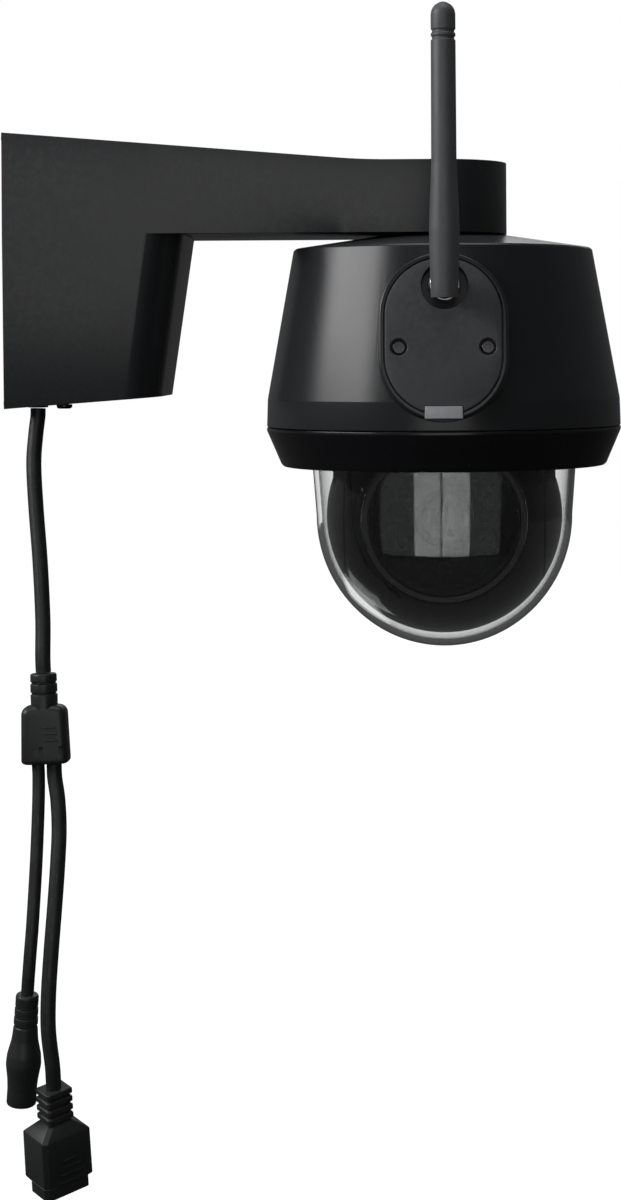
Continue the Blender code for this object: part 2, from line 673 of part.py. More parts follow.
def build_pan():
    motor = rod("pan_motor", 0.0090, 0.0170, "steel", at=from_head(0, GEAR_APART, -0.0249), sides=24)
    join(motor, rod("pan_shaft", 0.0012, 0.0082, at=from_head(0, GEAR_APART, -0.0363), sides=14))
    turned("pan_bearing", [
        (0.0083, -0.0339), (0.0110, -0.0339), (0.0110, -0.0360), (0.0083, -0.0360),
    ], "steel", at=from_head(0, 0, 0), sides=28)

    spin = pivot("pan_pinion_axis", from_head(0, GEAR_APART, PAN_GEAR_Z))
    pinion = prism("pan_pinion", [gear_outline(PINION_TEETH), bore(0.0015, 14)], 0.004, "gear",
                   at=from_head(0, GEAR_APART, PAN_GEAR_Z))
    hang(pinion, spin)

    pan = pivot("pan_axis", from_head(0, 0, BALL_Z))
    hang(prism("pan_gear", [gear_outline(WHEEL_TEETH, HALF_TOOTH), bore(0.0083, 28)], 0.004, "gear",
               at=from_head(0, 0, PAN_GEAR_Z)), pan)
    yoke = turned("yoke", [
        (0.0050, -0.0330), (0.0080, -0.0330), (0.0080, -0.0408), (0.0410, -0.0408), (0.0410, -0.0428),
        (0.0050, -0.0428),
    ], "ball", at=from_head(0, 0, 0), sides=28)
    for side in (-1, 1):
        cap = rod("cap_blank", 0.045, 0.0085, at=from_head(side * 0.03855, 0, BALL_Z), turn=TO_SIDE, sides=28)
        ball = ball_blank("cap_ball", BALL_R)
        common = boolean(cap, "INTERSECT", [ball])
        join(yoke, common, box("yoke_arm", (0.0040, 0.024, 0.0340),
                               at=from_head(side * 0.0367, 0, -0.0587)))
        cut(yoke, rod("trunnion_seat", 0.0028 if side < 0 else 0.0025, 0.0100,
                      at=from_head(side * 0.0343, 0, BALL_Z), turn=TO_SIDE, sides=14))
    hang(yoke, pan)
    hang(turned("hub_clip", [
        (0.0053, -0.0317), (0.0095, -0.0317), (0.0095, -0.0327), (0.0053, -0.0327),
    ], "steel", at=from_head(0, 0, 0), sides=24), pan)
    return pan


def ball_blank(name, radius, rings=12):
    """A closed ball, turned about its own Z."""
    profile = [(radius * math.sin(math.pi * i / rings), radius * math.cos(math.pi * i / rings))
               for i in range(rings + 1)]
    profile[0] = (0, radius)
    profile[-1] = (0, -radius)
    return turned(name, profile, at=from_head(0, 0, BALL_Z), sides=28)


# Eye: everything that tilts inside the yoke, about the X axis through the ball's centre

def arc_profile(radius, start, stop, steps):
    """Points (radius, distance) on the ball's section, from one distance along its axis to another."""
    first, last = math.acos(start / radius), math.acos(stop / radius)
    points = []
    for i in range(steps + 1):
        angle = first + (last - first) * i / steps
        points.append((radius * math.sin(angle), radius * math.cos(angle)))
    return points


def eye_turned(name, profile, finish, sides):
    """A piece turned about the lens axis; heights are distances in front of the ball's centre."""
    return turned(name, profile, finish, at=from_head(0, 0, BALL_Z), turn=TO_FRONT, sides=sides)


def cheeks(name, half):
    """Two blocks that flatten the ball's sides at this half width."""
    return [
        box(f"{name}_{side}", (0.020, 0.100, 0.100), at=from_head(side * (half + 0.010), 0, BALL_Z))
        for side in (-1, 1)
    ]


def build_ball(eye):
    seam = 0.012
    inside = BALL_R - BALL_WALL
    front = eye_turned("ball_front", [
        (0.0248, 0.0290), (0.0282, 0.0290), (0.0282, WINDOW_OUT),
        *arc_profile(BALL_R, WINDOW_OUT, seam, 4),
        *arc_profile(inside, seam, 0.0270, 2), (0.0248, 0.0270),
    ], "ball", 32)
    cut(front, *cheeks("front_cheek", CHEEK_X))
    hang(front, eye)

    back_seam = seam - GAP
    outer = arc_profile(BALL_R, back_seam, -BALL_R, 9)
    outer[-1] = (0, -BALL_R)
    rear = eye_turned("ball_rear_outer", [(0, back_seam)] + outer, "ball", 32)
    rear.name = "ball_rear"
    hollow_outline = arc_profile(inside, 0.020, -inside, 7)
    hollow_outline[-1] = (0, -inside)
    hollow = eye_turned("ball_hollow", [(0, 0.020)] + hollow_outline, None, 24)
    for block in cheeks("hollow_cheek", CHEEK_X - BALL_WALL):
        cut(hollow, block)
    cut(rear, *cheeks("rear_cheek", CHEEK_X), hollow)
    for side, radius in ((-1, 0.0028), (1, 0.0058)):
        cut(rear, rod("trunnion_way", radius, 0.0080, at=from_head(side * 0.0327, 0, BALL_Z),
                      turn=TO_SIDE, sides=20))
    hang(rear, eye)

    hang(eye_turned("bezel_ring", [
        (0.0262, 0.0312), (0.0275, 0.0312), (0.0279, 0.0308), (0.0279, 0.0293), (0.0259, 0.0293),
        (0.0259, 0.0309),
    ], "bezel", 32), eye)
    hang(rod("front_window", 0.0256, 0.0012, "window",
             at=from_head(0, -0.0299, BALL_Z), turn=TO_FRONT, sides=32), eye)


def build_optics(eye):
    hang(eye_turned("lens_barrel", [
        (0.0076, 0.0270), (0.0090, 0.0270), (0.0098, 0.0262), (0.0098, 0.0092), (0, 0.0092),
        (0, 0.0200), (0.0076, 0.0200),
    ], "chip", 28), eye)
    hang(eye_turned("lens_glass", [
        (0, 0.0262), (0.0035, 0.0257), (0.0060, 0.0243), (0.0072, 0.0225), (0.0072, 0.0204),
        (0, 0.0204),
    ], "window", 28), eye)
    leds = prism("led_board", [bore(0.0235, 32), bore(0.0103, 24)], 0.0014, "board",
                 at=from_head(0, -0.0219, BALL_Z), turn=TO_FRONT)
    for i in range(6):
        angle = math.radians(60 * i + 30)
        x, z = 0.0168 * math.cos(angle), BALL_Z + 0.0168 * math.sin(angle)
        join(leds, rod("led", 0.0024, 0.0040, at=from_head(x, -0.0240, z), turn=TO_FRONT, sides=12,
                       top=0.0016))
    hang(leds, eye)
    sensor = box("sensor_board", (0.030, 0.0014, 0.030), "board", at=from_head(0, -0.0082, BALL_Z))
    join(sensor, box("sensor_chip", (0.010, 0.002, 0.010), at=from_head(0, -0.0070, BALL_Z)))
    hang(sensor, eye)


def build_tilt(pan, eye):
    hang(rod("trunnion_left", 0.0025, 0.0080, "steel", at=from_head(-0.0347, 0, BALL_Z), turn=TO_SIDE,
             sides=14), pan)
    hang(rod("trunnion_right", 0.0022, 0.0140, "steel", at=from_head(0.0315, 0, BALL_Z), turn=TO_SIDE,
             sides=14), pan)
    wheel = prism("tilt_gear", [gear_outline(WHEEL_TEETH, HALF_TOOTH), bore(0.0025, 14)], 0.0035, "gear",
                  at=from_head(TILT_GEAR_X, 0, BALL_Z), turn=TO_SIDE)
    hub = turned("tilt_hub", [
        (0.0025, 0.0053), (0.0055, 0.0053), (0.0055, 0.0010), (0.0025, 0.0010),
    ], at=from_head(TILT_GEAR_X, 0, BALL_Z), turn=TO_SIDE, sides=20)
    join(wheel, hub)
    hang(wheel, pan)

    motor = rod("tilt_motor", 0.0095, 0.0160, "steel", at=from_head(0.0180, GEAR_APART, BALL_Z), turn=TO_SIDE,
                sides=24)
    join(motor, rod("tilt_shaft", 0.0010, 0.0060, at=from_head(0.0275, GEAR_APART, BALL_Z), turn=TO_SIDE,
                    sides=12))
    hang(motor, eye)
    spin = pivot("tilt_pinion_axis", from_head(TILT_GEAR_X, GEAR_APART, BALL_Z), eye)
    hang(prism("tilt_pinion", [gear_outline(PINION_TEETH), bore(0.0013, 12)], 0.0035, "gear",
               at=from_head(TILT_GEAR_X, GEAR_APART, BALL_Z), turn=TO_SIDE), spin)


# Cables and their connectors

def smooth(route, step):
    """Points along a Catmull-Rom curve through the route, a step apart."""
    points = [Vector(p) for p in route]
    ends = [2 * points[0] - points[1]] + points + [2 * points[-1] - points[-2]]
    fine = []
    for i in range(len(points) - 1):
        p0, p1, p2, p3 = ends[i:i + 4]
        for k in range(24):
            t = k / 24
            fine.append(0.5 * (
                2 * p1 + (p2 - p0) * t + (2 * p0 - 5 * p1 + 4 * p2 - p3) * t * t
                + (3 * p1 - p0 - 3 * p2 + p3) * t ** 3
            ))
    fine.append(points[-1])
    total = sum((b - a).length for a, b in zip(fine, fine[1:]))
    count = max(4, round(total / step))
    spaced, walked, aim = [fine[0]], 0, total / count
    for a, b in zip(fine, fine[1:]):
        length = (b - a).length
        while walked + length >= aim - 1e-9 and len(spaced) < count:
            spaced.append(a.lerp(b, (aim - walked) / length))
            aim += total / count
        walked += length
    return spaced + [fine[-1]]


def cable(name, route, radius, finish="cable", step=0.0060):
    curve = bpy.data.curves.new(name, "CURVE")
    curve.dimensions = "3D"
    curve.bevel_depth = radius
    curve.bevel_resolution = 2
    curve.use_fill_caps = True
    spline = curve.splines.new("POLY")
    points = smooth(route, step)
    spline.points.add(len(points) - 1)
    for point, place in zip(spline.points, points):
        point.co = (*place, 1)
    return added(name, curve, finish, (0, 0, 0), (0, 0, 0))


def ribbed(widths, top, pitch, groove):
    """Profile of a ribbed collar that starts at height top: one rib for each radius in widths."""
    points = []
    for i, radius in enumerate(widths):
        z = top - i * pitch
        points += [(radius, z), (radius, z - pitch + groove), (radius - 0.0009, z - pitch + groove),
                   (radius - 0.0009, z - pitch)]
    return points


def build_splitter():
    place = hanging(SPLITTER_AT)
    body = turned("cable_splitter", [(0, 0)] + ribbed([0.0045, 0.0046, 0.0046], 0, 0.0036, 0.0009) + [
        (0.0046, -0.0108), (0.0046, -0.0140), (0, -0.0140),
    ], "cable", sides=16)
    body.matrix_world = place
    block = box("splitter_block", (0.0160, 0.0100, 0.0200), bevel=0.0030)
    block.matrix_world = place @ Matrix.Translation((0.0002, 0, -0.0208))
    join(body, block)


def build_dc_jack():
    place = hanging(JACK_AT)
    jack = turned("dc_jack", [
        (0, 0), (0.0036, 0), (0.0039, -0.0006), *ribbed([0.0039, 0.0040, 0.0041], -0.0015, 0.0034, 0.0010),
        (0.0041, -0.0117), (0.0046, -0.0165), (0.0058, -0.0215), (0.0060, -0.0250), (0.0052, -0.0300),
        (0.0050, -0.0330), (0.0050, -0.0389), (0.00275, -0.0389), (0.00275, -0.0300), (0, -0.0300),
    ], "cable", sides=16)
    jack.matrix_world = place
    pin = rod("dc_jack_pin", 0.00105, 0.0080, "steel", sides=10)
    pin.matrix_world = place @ Matrix.Translation((0, 0, -0.0343))


def loft(name, sections, finish=None, at=(0, 0, 0), turn=(0, 0, 0)):
    """A solid through rectangles (half width, half depth, height[, middle]), from the top one down."""
    shape = bmesh.new()
    rings = []
    for half_x, half_y, z, *middle in sections:
        mid_x, mid_y = middle[0] if middle else (0, 0)
        rings.append([shape.verts.new((mid_x + x * half_x, mid_y + y * half_y, z)) for x, y in
                      ((1, 1), (-1, 1), (-1, -1), (1, -1))])
    shape.faces.new(rings[0])
    shape.faces.new(rings[-1])
    for upper, lower in zip(rings, rings[1:]):
        for i in range(4):
            j = (i + 1) % 4
            shape.faces.new((upper[i], upper[j], lower[j], lower[i]))
    return from_bmesh(name, shape, finish, at, turn)


def build_rj45():
    """The socket's lip keeps one corner of the body and steps in at the other sides."""
    ribs = []
    for i in range(4):
        top = -0.0030 * i
        ribs += [(0.0049, 0.00415, top), (0.0049, 0.00415, top - 0.0020), (0.0041, 0.00335, top - 0.0020),
                 (0.0041, 0.00335, top - 0.0030)]
    mouth = (-0.0008, -0.0018)
    body = loft("rj45_socket", ribs + [
        (0.0046, 0.0038, -0.0121), (0.0091, 0.0070, -0.0155), (0.0092, 0.0071, -0.0323),
        (0.0083, 0.0052, -0.0324, mouth), (0.0083, 0.0052, -0.0367, mouth),
    ], "cable")
    place = hanging(SOCKET_AT)
    body.matrix_world = place
    cavity = box("rj45_cavity", (0.0120, 0.0086, 0.0200))
    cavity.matrix_world = place @ Matrix.Translation((*mouth, -0.0360))
    cut(body, cavity)
    comb = box("rj45_contacts", (0.0090, 0.0008, 0.0070), "brass")
    comb.matrix_world = place @ Matrix.Translation((mouth[0], mouth[1] + 0.0036, -0.0299))


def main():
    build_bracket()
    build_housing()
    build_lower_ring()
    build_dome()
    build_access_cover()
    build_service_bay(pivot("reset_axis", on_cover(0.0068, -0.0080, -0.0057)))
    build_antenna()
    build_chassis()
    pan = build_pan()
    eye = pivot("tilt_axis", from_head(0, 0, BALL_Z), pan)
    build_ball(eye)
    build_optics(eye)
    build_tilt(pan, eye)
    cable("inner_cable", INNER_ROUTE, MAIN_R, step=0.0090)
    cable("main_cable", MAIN_ROUTE, MAIN_R)
    cable("dc_cable", DC_ROUTE, DC_R)
    cable("lan_cable", LAN_ROUTE, LAN_R)
    build_splitter()
    build_dc_jack()
    build_rj45()


clear_scene()
PARTS = collection("dome_camera")
CUTTERS = collection("cutters")
main()
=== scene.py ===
import math

import bmesh
import bpy
from mathutils import Matrix, Vector


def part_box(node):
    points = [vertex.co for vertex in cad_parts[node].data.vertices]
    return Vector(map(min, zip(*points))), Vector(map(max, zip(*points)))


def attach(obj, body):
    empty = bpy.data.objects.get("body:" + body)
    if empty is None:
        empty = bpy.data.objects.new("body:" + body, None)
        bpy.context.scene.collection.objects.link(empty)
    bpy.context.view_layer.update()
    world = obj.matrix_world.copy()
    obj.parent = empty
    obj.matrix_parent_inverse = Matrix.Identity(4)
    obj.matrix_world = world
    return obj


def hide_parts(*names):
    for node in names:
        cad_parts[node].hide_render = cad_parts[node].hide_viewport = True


# The looks of the dome camera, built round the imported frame. The row frame is in metres, +Z up: X runs out of
# the wall and -Y faces the access cover. Profiles are in millimetres in their piece's own frame.

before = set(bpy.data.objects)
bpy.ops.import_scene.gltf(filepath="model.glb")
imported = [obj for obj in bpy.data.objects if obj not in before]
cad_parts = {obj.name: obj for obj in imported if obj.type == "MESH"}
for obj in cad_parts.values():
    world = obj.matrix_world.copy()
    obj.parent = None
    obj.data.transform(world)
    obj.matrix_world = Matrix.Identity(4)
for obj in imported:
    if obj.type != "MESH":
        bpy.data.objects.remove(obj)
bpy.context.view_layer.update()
MM = 0.001


# Places, from the frame

def middle(node):
    low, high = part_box(node)
    return (low + high) / 2


HEAD = Vector((middle("lower_ring").x, 0, 0))
BALL = Vector((HEAD.x, 0, middle("trunnion_left").z))
JACK = Vector((middle("antenna_jack").x, 0, middle("antenna_jack").z))
RIM = (53.2, 8.35)
KNEE = (62.7, -44.6)
SEAM = (63.0, -54.3)
CONE = math.atan2(KNEE[0] - RIM[0], RIM[1] - KNEE[1])
COVER_UP = Vector((0, math.sin(CONE), math.cos(CONE)))
COVER_OUT = Vector((0, -math.cos(CONE), math.sin(CONE)))
COVER_HEIGHT = -22.9
COVER_RADIUS = RIM[0] + (RIM[1] - COVER_HEIGHT) * math.tan(CONE)
LOCK_X = 16.5
ELBOW = 75.0


def axes(at, x, y, z):
    """The frame at a point with these axes, in metres, which takes millimetres."""
    turn = Matrix((x, y, z)).transposed().to_4x4()
    return Matrix.Translation(at) @ turn @ Matrix.Scale(MM, 4)


X, Y, Z = Vector((1, 0, 0)), Vector((0, 1, 0)), Vector((0, 0, 1))
WORLD_MM = axes((0, 0, 0), X, Y, Z)
HEAD_MM = axes(HEAD, X, Y, Z)
COVER_MM = axes((HEAD.x, -COVER_RADIUS * MM, COVER_HEIGHT * MM), X, COVER_UP, COVER_OUT)
EYE_MM = axes(BALL, X, Z, -Y)
JACK_MM = axes(JACK, X, Z, -Y)
GLAND_MM = axes((0.0098, -0.0160, 0), X, Y, Z)
LOCK_MM = axes((LOCK_X * MM, 0, 0), X, Y, Z)
ELBOW_AT = JACK + Vector((0, -ELBOW * MM, 0))
ACROSS_MM = axes(ELBOW_AT, -Z, Y, X)
UPRIGHT_MM = axes(ELBOW_AT, X, Y, Z)


def hanging(at, tilt, lean, spin):
    """The frame of a piece on a cable: its place in metres, then tilt, lean and spin in degrees."""
    turn = (
        Matrix.Rotation(math.radians(tilt), 4, "X") @ Matrix.Rotation(math.radians(lean), 4, "Y")
        @ Matrix.Rotation(math.radians(spin), 4, "Z")
    )
    return Matrix.Translation(at) @ turn @ Matrix.Scale(MM, 4)


SPLITTER_MM = hanging((0.0136, -0.0310, -0.1378), -2, -1.85, 0)
DC_MM = hanging((0.0092, -0.0410, -0.2455), 6, 4.5, 0)
RJ45_MM = hanging((0.0182, -0.0426, -0.2769), 12, -1, 40.4)


# Materials

class Nodes:
    """Adds linked shader nodes to a material in one call each."""

    def __init__(self, name):
        self.material = bpy.data.materials.new(name)
        self.material.use_nodes = True
        self.tree = self.material.node_tree
        self.shader = self.tree.nodes["Principled BSDF"]
        self.place = self.add("ShaderNodeTexCoord").outputs["Object"]

    def add(self, kind, inputs=(), **settings):
        node = self.tree.nodes.new(kind)
        for key, value in settings.items():
            setattr(node, key, value)
        for key, value in dict(inputs).items():
            if isinstance(value, bpy.types.NodeSocket):
                self.tree.links.new(value, node.inputs[key])
            else:
                node.inputs[key].default_value = value
        return node

    def noise(self, size, detail=3.0, rough=0.5, stretch=(1, 1, 1)):
        """Noise whose features are about this many millimetres."""
        place = self.place
        if stretch != (1, 1, 1):
            place = self.add("ShaderNodeMapping", {"Vector": place, "Scale": stretch}).outputs["Vector"]
        return self.add("ShaderNodeTexNoise", {
            "Vector": place, "Scale": 1 / (size * MM), "Detail": detail, "Roughness": rough,
        }).outputs["Fac"]

    def span(self, value, low, high, to_low, to_high):
        return self.add("ShaderNodeMapRange", {
            "Value": value, "From Min": low, "From Max": high, "To Min": to_low, "To Max": to_high,
        }).outputs["Result"]

    def mix(self, factor, a, b, blend="MIX"):
        node = self.add("ShaderNodeMix", data_type="RGBA", blend_type=blend)
        for socket, value in ((node.inputs[0], factor), (node.inputs[6], a), (node.inputs[7], b)):
            if isinstance(value, bpy.types.NodeSocket):
                self.tree.links.new(value, socket)
            elif isinstance(value, (int, float)):
                socket.default_value = value
            else:
                socket.default_value = (*value, 1)
        return node.outputs[2]

    def maths(self, operation, a, b=0.0):
        return self.add("ShaderNodeMath", {0: a, 1: b}, operation=operation).outputs[0]

    def bump(self, height, depth, after=None):
        """Relief of this depth in millimetres, on top of an earlier relief."""
        inputs = {"Height": height, "Distance": depth * MM, "Strength": 1.0}
        if after is not None:
            inputs["Normal"] = after
        return self.add("ShaderNodeBump", inputs).outputs["Normal"]

    def finish(self, colour=None, roughness=None, normal=None, **fixed):
        for key, value in (("Base Color", colour), ("Roughness", roughness), ("Normal", normal)):
            if value is not None:
                self.tree.links.new(value, self.shader.inputs[key])
        for key, value in fixed.items():
            self.shader.inputs[key.replace("_", " ")].default_value = value
        return self.material


def scaled(colour, factor):
    return tuple(channel * factor for channel in colour)


def moulded(name, colour, rough, grain=0.35, relief=0.004, mottle=0.10, smear=0.07, wear=0.5):
    """Moulded plastic: fine grain, slow colour drift, handling smears and edges rubbed paler."""
    n = Nodes(name)
    drift = n.noise(23, 4)
    cloud = n.noise(4.5, 3)
    tone = n.mix(n.span(drift, 0.3, 0.7, 0, 1), scaled(colour, 1 - mottle), scaled(colour, 1 + mottle))
    tone = n.mix(n.span(cloud, 0.35, 0.65, 0, 0.35), tone, scaled(colour, 1 + 1.6 * mottle))
    edge = n.span(n.add("ShaderNodeNewGeometry").outputs["Pointiness"], 0.515, 0.60, 0, wear)
    rubbed = n.maths("MULTIPLY", edge, n.span(n.noise(2.2, 5, 0.7), 0.42, 0.62, 0, 1))
    tone = n.mix(rubbed, tone, scaled(colour, 2.2))
    streak = n.noise(1.6, 4, 0.6, (1, 1, 0.16))
    rough_now = n.span(n.maths("ADD", n.maths("MULTIPLY", streak, 0.45), n.maths("MULTIPLY", drift, 0.55)),
                       0.35, 0.65, rough - smear, rough + smear)
    rough_now = n.maths("SUBTRACT", rough_now, n.maths("MULTIPLY", rubbed, 0.10))
    normal = n.bump(n.noise(grain, 2, 0.55), relief)
    normal = n.bump(n.noise(9, 1), 0.010, normal)
    return n.finish(tone, rough_now, normal)


def rubbery(name, colour, rough, wear=0.4):
    """Extruded or moulded rubber: dull, with a faint bloom and fine nicks."""
    n = Nodes(name)
    bloom = n.noise(6, 5, 0.62)
    tone = n.mix(n.span(bloom, 0.45, 0.75, 0, 0.8), colour, scaled(colour, 1.9))
    tone = n.mix(n.span(n.noise(0.9, 2), 0.62, 0.72, 0, wear), tone, scaled(colour, 2.6))
    rough_now = n.span(n.noise(3.2, 3), 0.3, 0.7, rough - 0.09, rough + 0.09)
    normal = n.bump(n.noise(0.30, 2), 0.005)
    normal = n.bump(n.noise(2.6, 2), 0.016, normal)
    return n.finish(tone, rough_now, normal)


def metal(name, colour, rough, brush=(1, 1, 12), relief=0.003, tarnish=0.25):
    """Worked metal: brushed streaks, a duller tarnish in patches and fine scratches."""
    n = Nodes(name)
    lines = n.noise(0.7, 3, 0.6, brush)
    patch = n.noise(5, 4, 0.6)
    tone = n.mix(n.span(lines, 0.3, 0.7, 0, 1), scaled(colour, 0.86), scaled(colour, 1.08))
    tone = n.mix(n.span(patch, 0.48, 0.75, 0, tarnish), tone, scaled(colour, 0.45))
    rough_now = n.span(n.maths("ADD", n.maths("MULTIPLY", lines, 0.5), n.maths("MULTIPLY", patch, 0.5)),
                       0.35, 0.65, max(0.05, rough - 0.10), rough + 0.12)
    return n.finish(tone, rough_now, n.bump(lines, relief), Metallic=1.0)


def clear(name, colour, ior, rough=0.01, dust=0.03):
    """Clear moulding: wipe marks and dust show only as slightly duller patches."""
    n = Nodes(name)
    wipe = n.noise(14, 4, 0.6, (1, 1, 0.35))
    rough_now = n.span(wipe, 0.45, 0.80, rough, rough + dust)
    tone = n.mix(n.span(n.noise(30, 2), 0.3, 0.7, 0, 1), colour, scaled(colour, 0.97))
    return n.finish(tone, rough_now, n.bump(n.noise(40, 1), 0.010), IOR=ior, Transmission_Weight=1.0)


def circuit(name):
    """Green solder resist over squared copper tracks, with a fine weave under it."""
    n = Nodes(name)
    cells = n.add("ShaderNodeTexVoronoi", {"Vector": n.place, "Scale": 1 / (2.6 * MM), "Randomness": 0.7},
                  distance="MANHATTAN", feature="F1").outputs["Distance"]
    tracks = n.span(n.maths("PINGPONG", cells, 0.21), 0.07, 0.11, 0, 1)
    tone = n.mix(tracks, (0.010, 0.075, 0.030), (0.022, 0.150, 0.060))
    tone = n.mix(n.span(n.noise(0.5, 1), 0.66, 0.70, 0, 1), tone, (0.42, 0.40, 0.34))
    rough_now = n.span(n.noise(1.2, 2), 0.3, 0.7, 0.25, 0.42)
    return n.finish(tone, rough_now, n.bump(tracks, 0.020))


MATERIALS = {
    "case": moulded("case_plastic", (0.021, 0.022, 0.024), 0.26, mottle=0.05, smear=0.012, wear=0.3),
    "band": moulded("band_plastic", (0.006, 0.006, 0.007), 0.24, relief=0.0015, smear=0.05),
    "cover": moulded("cover_plastic", (0.058, 0.060, 0.065), 0.55, grain=0.45, relief=0.008),
    "antenna": moulded("antenna_plastic", (0.108, 0.111, 0.116), 0.46, grain=0.30, relief=0.006),
    "ball": moulded("ball_gloss", (0.005, 0.005, 0.006), 0.07, relief=0.0, smear=0.03, wear=0.2),
    # The bezel's grey is partly its own colour and partly a painted reflection: it is made paler to stand in
    # for the light its chamfer reflects.
    "bezel": moulded("bezel_satin_painted_reflection", (0.220, 0.220, 0.230), 0.38),
    "cable_moulding": moulded("cable_moulding", (0.021, 0.022, 0.023), 0.40,
                              grain=0.5, relief=0.006, smear=0.04),
    "tab": moulded("tab_plastic", (0.40, 0.41, 0.43), 0.42, grain=0.3, relief=0.006, wear=0.1),
    "inner": moulded("inner_plastic", (0.030, 0.030, 0.033), 0.50, grain=0.5, relief=0.010),
    "dark": moulded("dark_plastic", (0.012, 0.012, 0.013), 0.35),
    "gear": moulded("gear_acetal", (0.68, 0.66, 0.60), 0.42, mottle=0.05, wear=0.2),
    "jacket": rubbery("cable_jacket", (0.016, 0.017, 0.018), 0.44),
    "rubber": rubbery("seal_rubber", (0.013, 0.013, 0.013), 0.74),
    "steel": metal("bright_steel", (0.58, 0.58, 0.60), 0.26),
    "plate": metal("zinc_plate", (0.56, 0.57, 0.60), 0.34, (1, 10, 1)),
    "black_steel": metal("black_steel", (0.105, 0.105, 0.110), 0.30, tarnish=0.1),
    "alloy": metal("cast_alloy", (0.62, 0.63, 0.65), 0.44, (1, 1, 1)),
    "brass": metal("gold_brass", (0.80, 0.58, 0.24), 0.24),
    "board": circuit("circuit_board"),
    "dome": clear("dome_polycarbonate", (0.97, 0.98, 0.98), 1.52),
    "window": clear("tinted_window", (0.22, 0.22, 0.23), 1.50, dust=0.02),
    "lens": clear("lens_glass", (0.30, 0.32, 0.40), 1.70, dust=0.01),
}

CAD_FINISH = {
    "wall_plate": "plate", "neck_nut": "alloy", "heat_sink": "alloy", "card_socket": "alloy",
    "neck_seal": "rubber", "dome_seal": "rubber", "cover_gasket": "rubber", "inner_cable": "jacket",
    "chassis": "inner", "reset_switch": "dark", "reset_button": "tab",
    "main_board": "board", "service_board": "board", "sensor_board": "board", "led_board": "board",
    "pan_motor": "steel", "tilt_motor": "steel", "pan_bearing": "steel", "hub_clip": "steel",
    "trunnion_left": "steel", "trunnion_right": "steel", "antenna_pin": "steel", "dc_jack_pin": "steel",
    "antenna_jack": "brass", "rj45_contacts": "brass",
    "pan_pinion": "gear", "pan_gear": "gear", "tilt_gear": "gear", "tilt_pinion": "gear",
}
for node_name, finish in CAD_FINISH.items():
    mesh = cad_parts[node_name].data
    mesh.materials.clear()
    mesh.materials.append(MATERIALS[finish])


# Mesh helpers

def linked(name, mesh):
    obj = bpy.data.objects.new(name, mesh)
    bpy.context.scene.collection.objects.link(obj)
    return obj


def smoothed(mesh, sharp=32):
    mesh.shade_smooth()
    mesh.set_sharp_from_angle(angle=math.radians(sharp))


def solid(name, shape, place, finish=None, sharp=32):
    """An object from a bmesh in millimetres, put in place in its mesh."""
    shape.transform(place)
    bmesh.ops.recalc_face_normals(shape, faces=shape.faces)
    mesh = bpy.data.meshes.new(name)
    shape.to_mesh(mesh)
    shape.free()
    smoothed(mesh, sharp)
    if finish:
        mesh.materials.append(MATERIALS[finish])
    return linked(name, mesh)


def rounded(points, closed=False, steps=4):
    """A flat outline whose corners (x, y, radius) are turned into arcs."""
    out = []
    count = len(points)
    for i, point in enumerate(points):
        here = Vector(point[:2])
        if len(point) < 3 or (not closed and i in (0, count - 1)):
            out.append(here)
            continue
        before = Vector(points[i - 1][:2]) - here
        after = Vector(points[(i + 1) % count][:2]) - here
        half = before.angle(after) / 2
        if half > math.radians(89):
            out.append(here)
            continue
        reach = min(point[2] / math.tan(half), 0.49 * before.length, 0.49 * after.length)
        towards, away = before.normalized() * reach, after.normalized() * reach
        centre = (before.normalized() + after.normalized()).normalized() * (reach / math.cos(half))
        radius = (towards - centre).length
        for k in range(steps + 1):
            spoke = (towards - centre).slerp(away - centre, k / steps)
            out.append(here + centre + radius * spoke.normalized())
    return out


def lathe(name, profile, place=HEAD_MM, finish=None, sides=96, steps=4, sharp=32):
    """A turned solid about local Z. Its outline is (radius, height[, corner radius])."""
    on_axis = profile[0][0] == 0 and profile[-1][0] == 0
    outline = rounded(profile, closed=not on_axis, steps=steps)
    shape = bmesh.new()
    rings = []
    for radius, height in outline:
        if radius < 1e-6:
            rings.append([shape.verts.new((0, 0, height))])
            continue
        rings.append([
            shape.verts.new((radius * math.cos(2 * math.pi * k / sides),
                             radius * math.sin(2 * math.pi * k / sides), height))
            for k in range(sides)
        ])
    pairs = list(zip(rings, rings[1:]))
    if not on_axis:
        pairs.append((rings[-1], rings[0]))
    for upper, lower in pairs:
        for k in range(sides):
            j = (k + 1) % sides
            around = ((upper, k), (upper, j), (lower, j), (lower, k))
            corners = list(dict.fromkeys(ring[m % len(ring)] for ring, m in around))
            if len(corners) > 2:
                shape.faces.new(corners)
    bmesh.ops.remove_doubles(shape, verts=shape.verts, dist=1e-5)
    return solid(name, shape, place, finish, sharp)


def loft(name, rings, place, finish=None):
    """A closed solid through rings of equally many points (x, y, z), capped at both ends."""
    shape = bmesh.new()
    rows = [[shape.verts.new(point) for point in ring] for ring in rings]
    count = len(rows[0])
    for upper, lower in zip(rows, rows[1:]):
        for k in range(count):
            j = (k + 1) % count
            shape.faces.new((upper[k], upper[j], lower[j], lower[k]))
    shape.faces.new(rows[0])
    shape.faces.new(rows[-1])
    return solid(name, shape, place, finish)


def hexagon(radius):
    turns = [2 * math.pi * k / 6 for k in range(6)]
    return [(radius * math.cos(turn), radius * math.sin(turn)) for turn in turns]


def stadium(half_width, half_height, steps=36):
    """An upright stadium with the same number of points at any size."""
    straight = half_height - half_width
    points = []
    for side, first in ((1, 0), (-1, 180)):
        for k in range(steps + 1):
            angle = math.radians(first + 180 * k / steps)
            points.append((half_width * math.cos(angle), side * straight + half_width * math.sin(angle)))
    return points


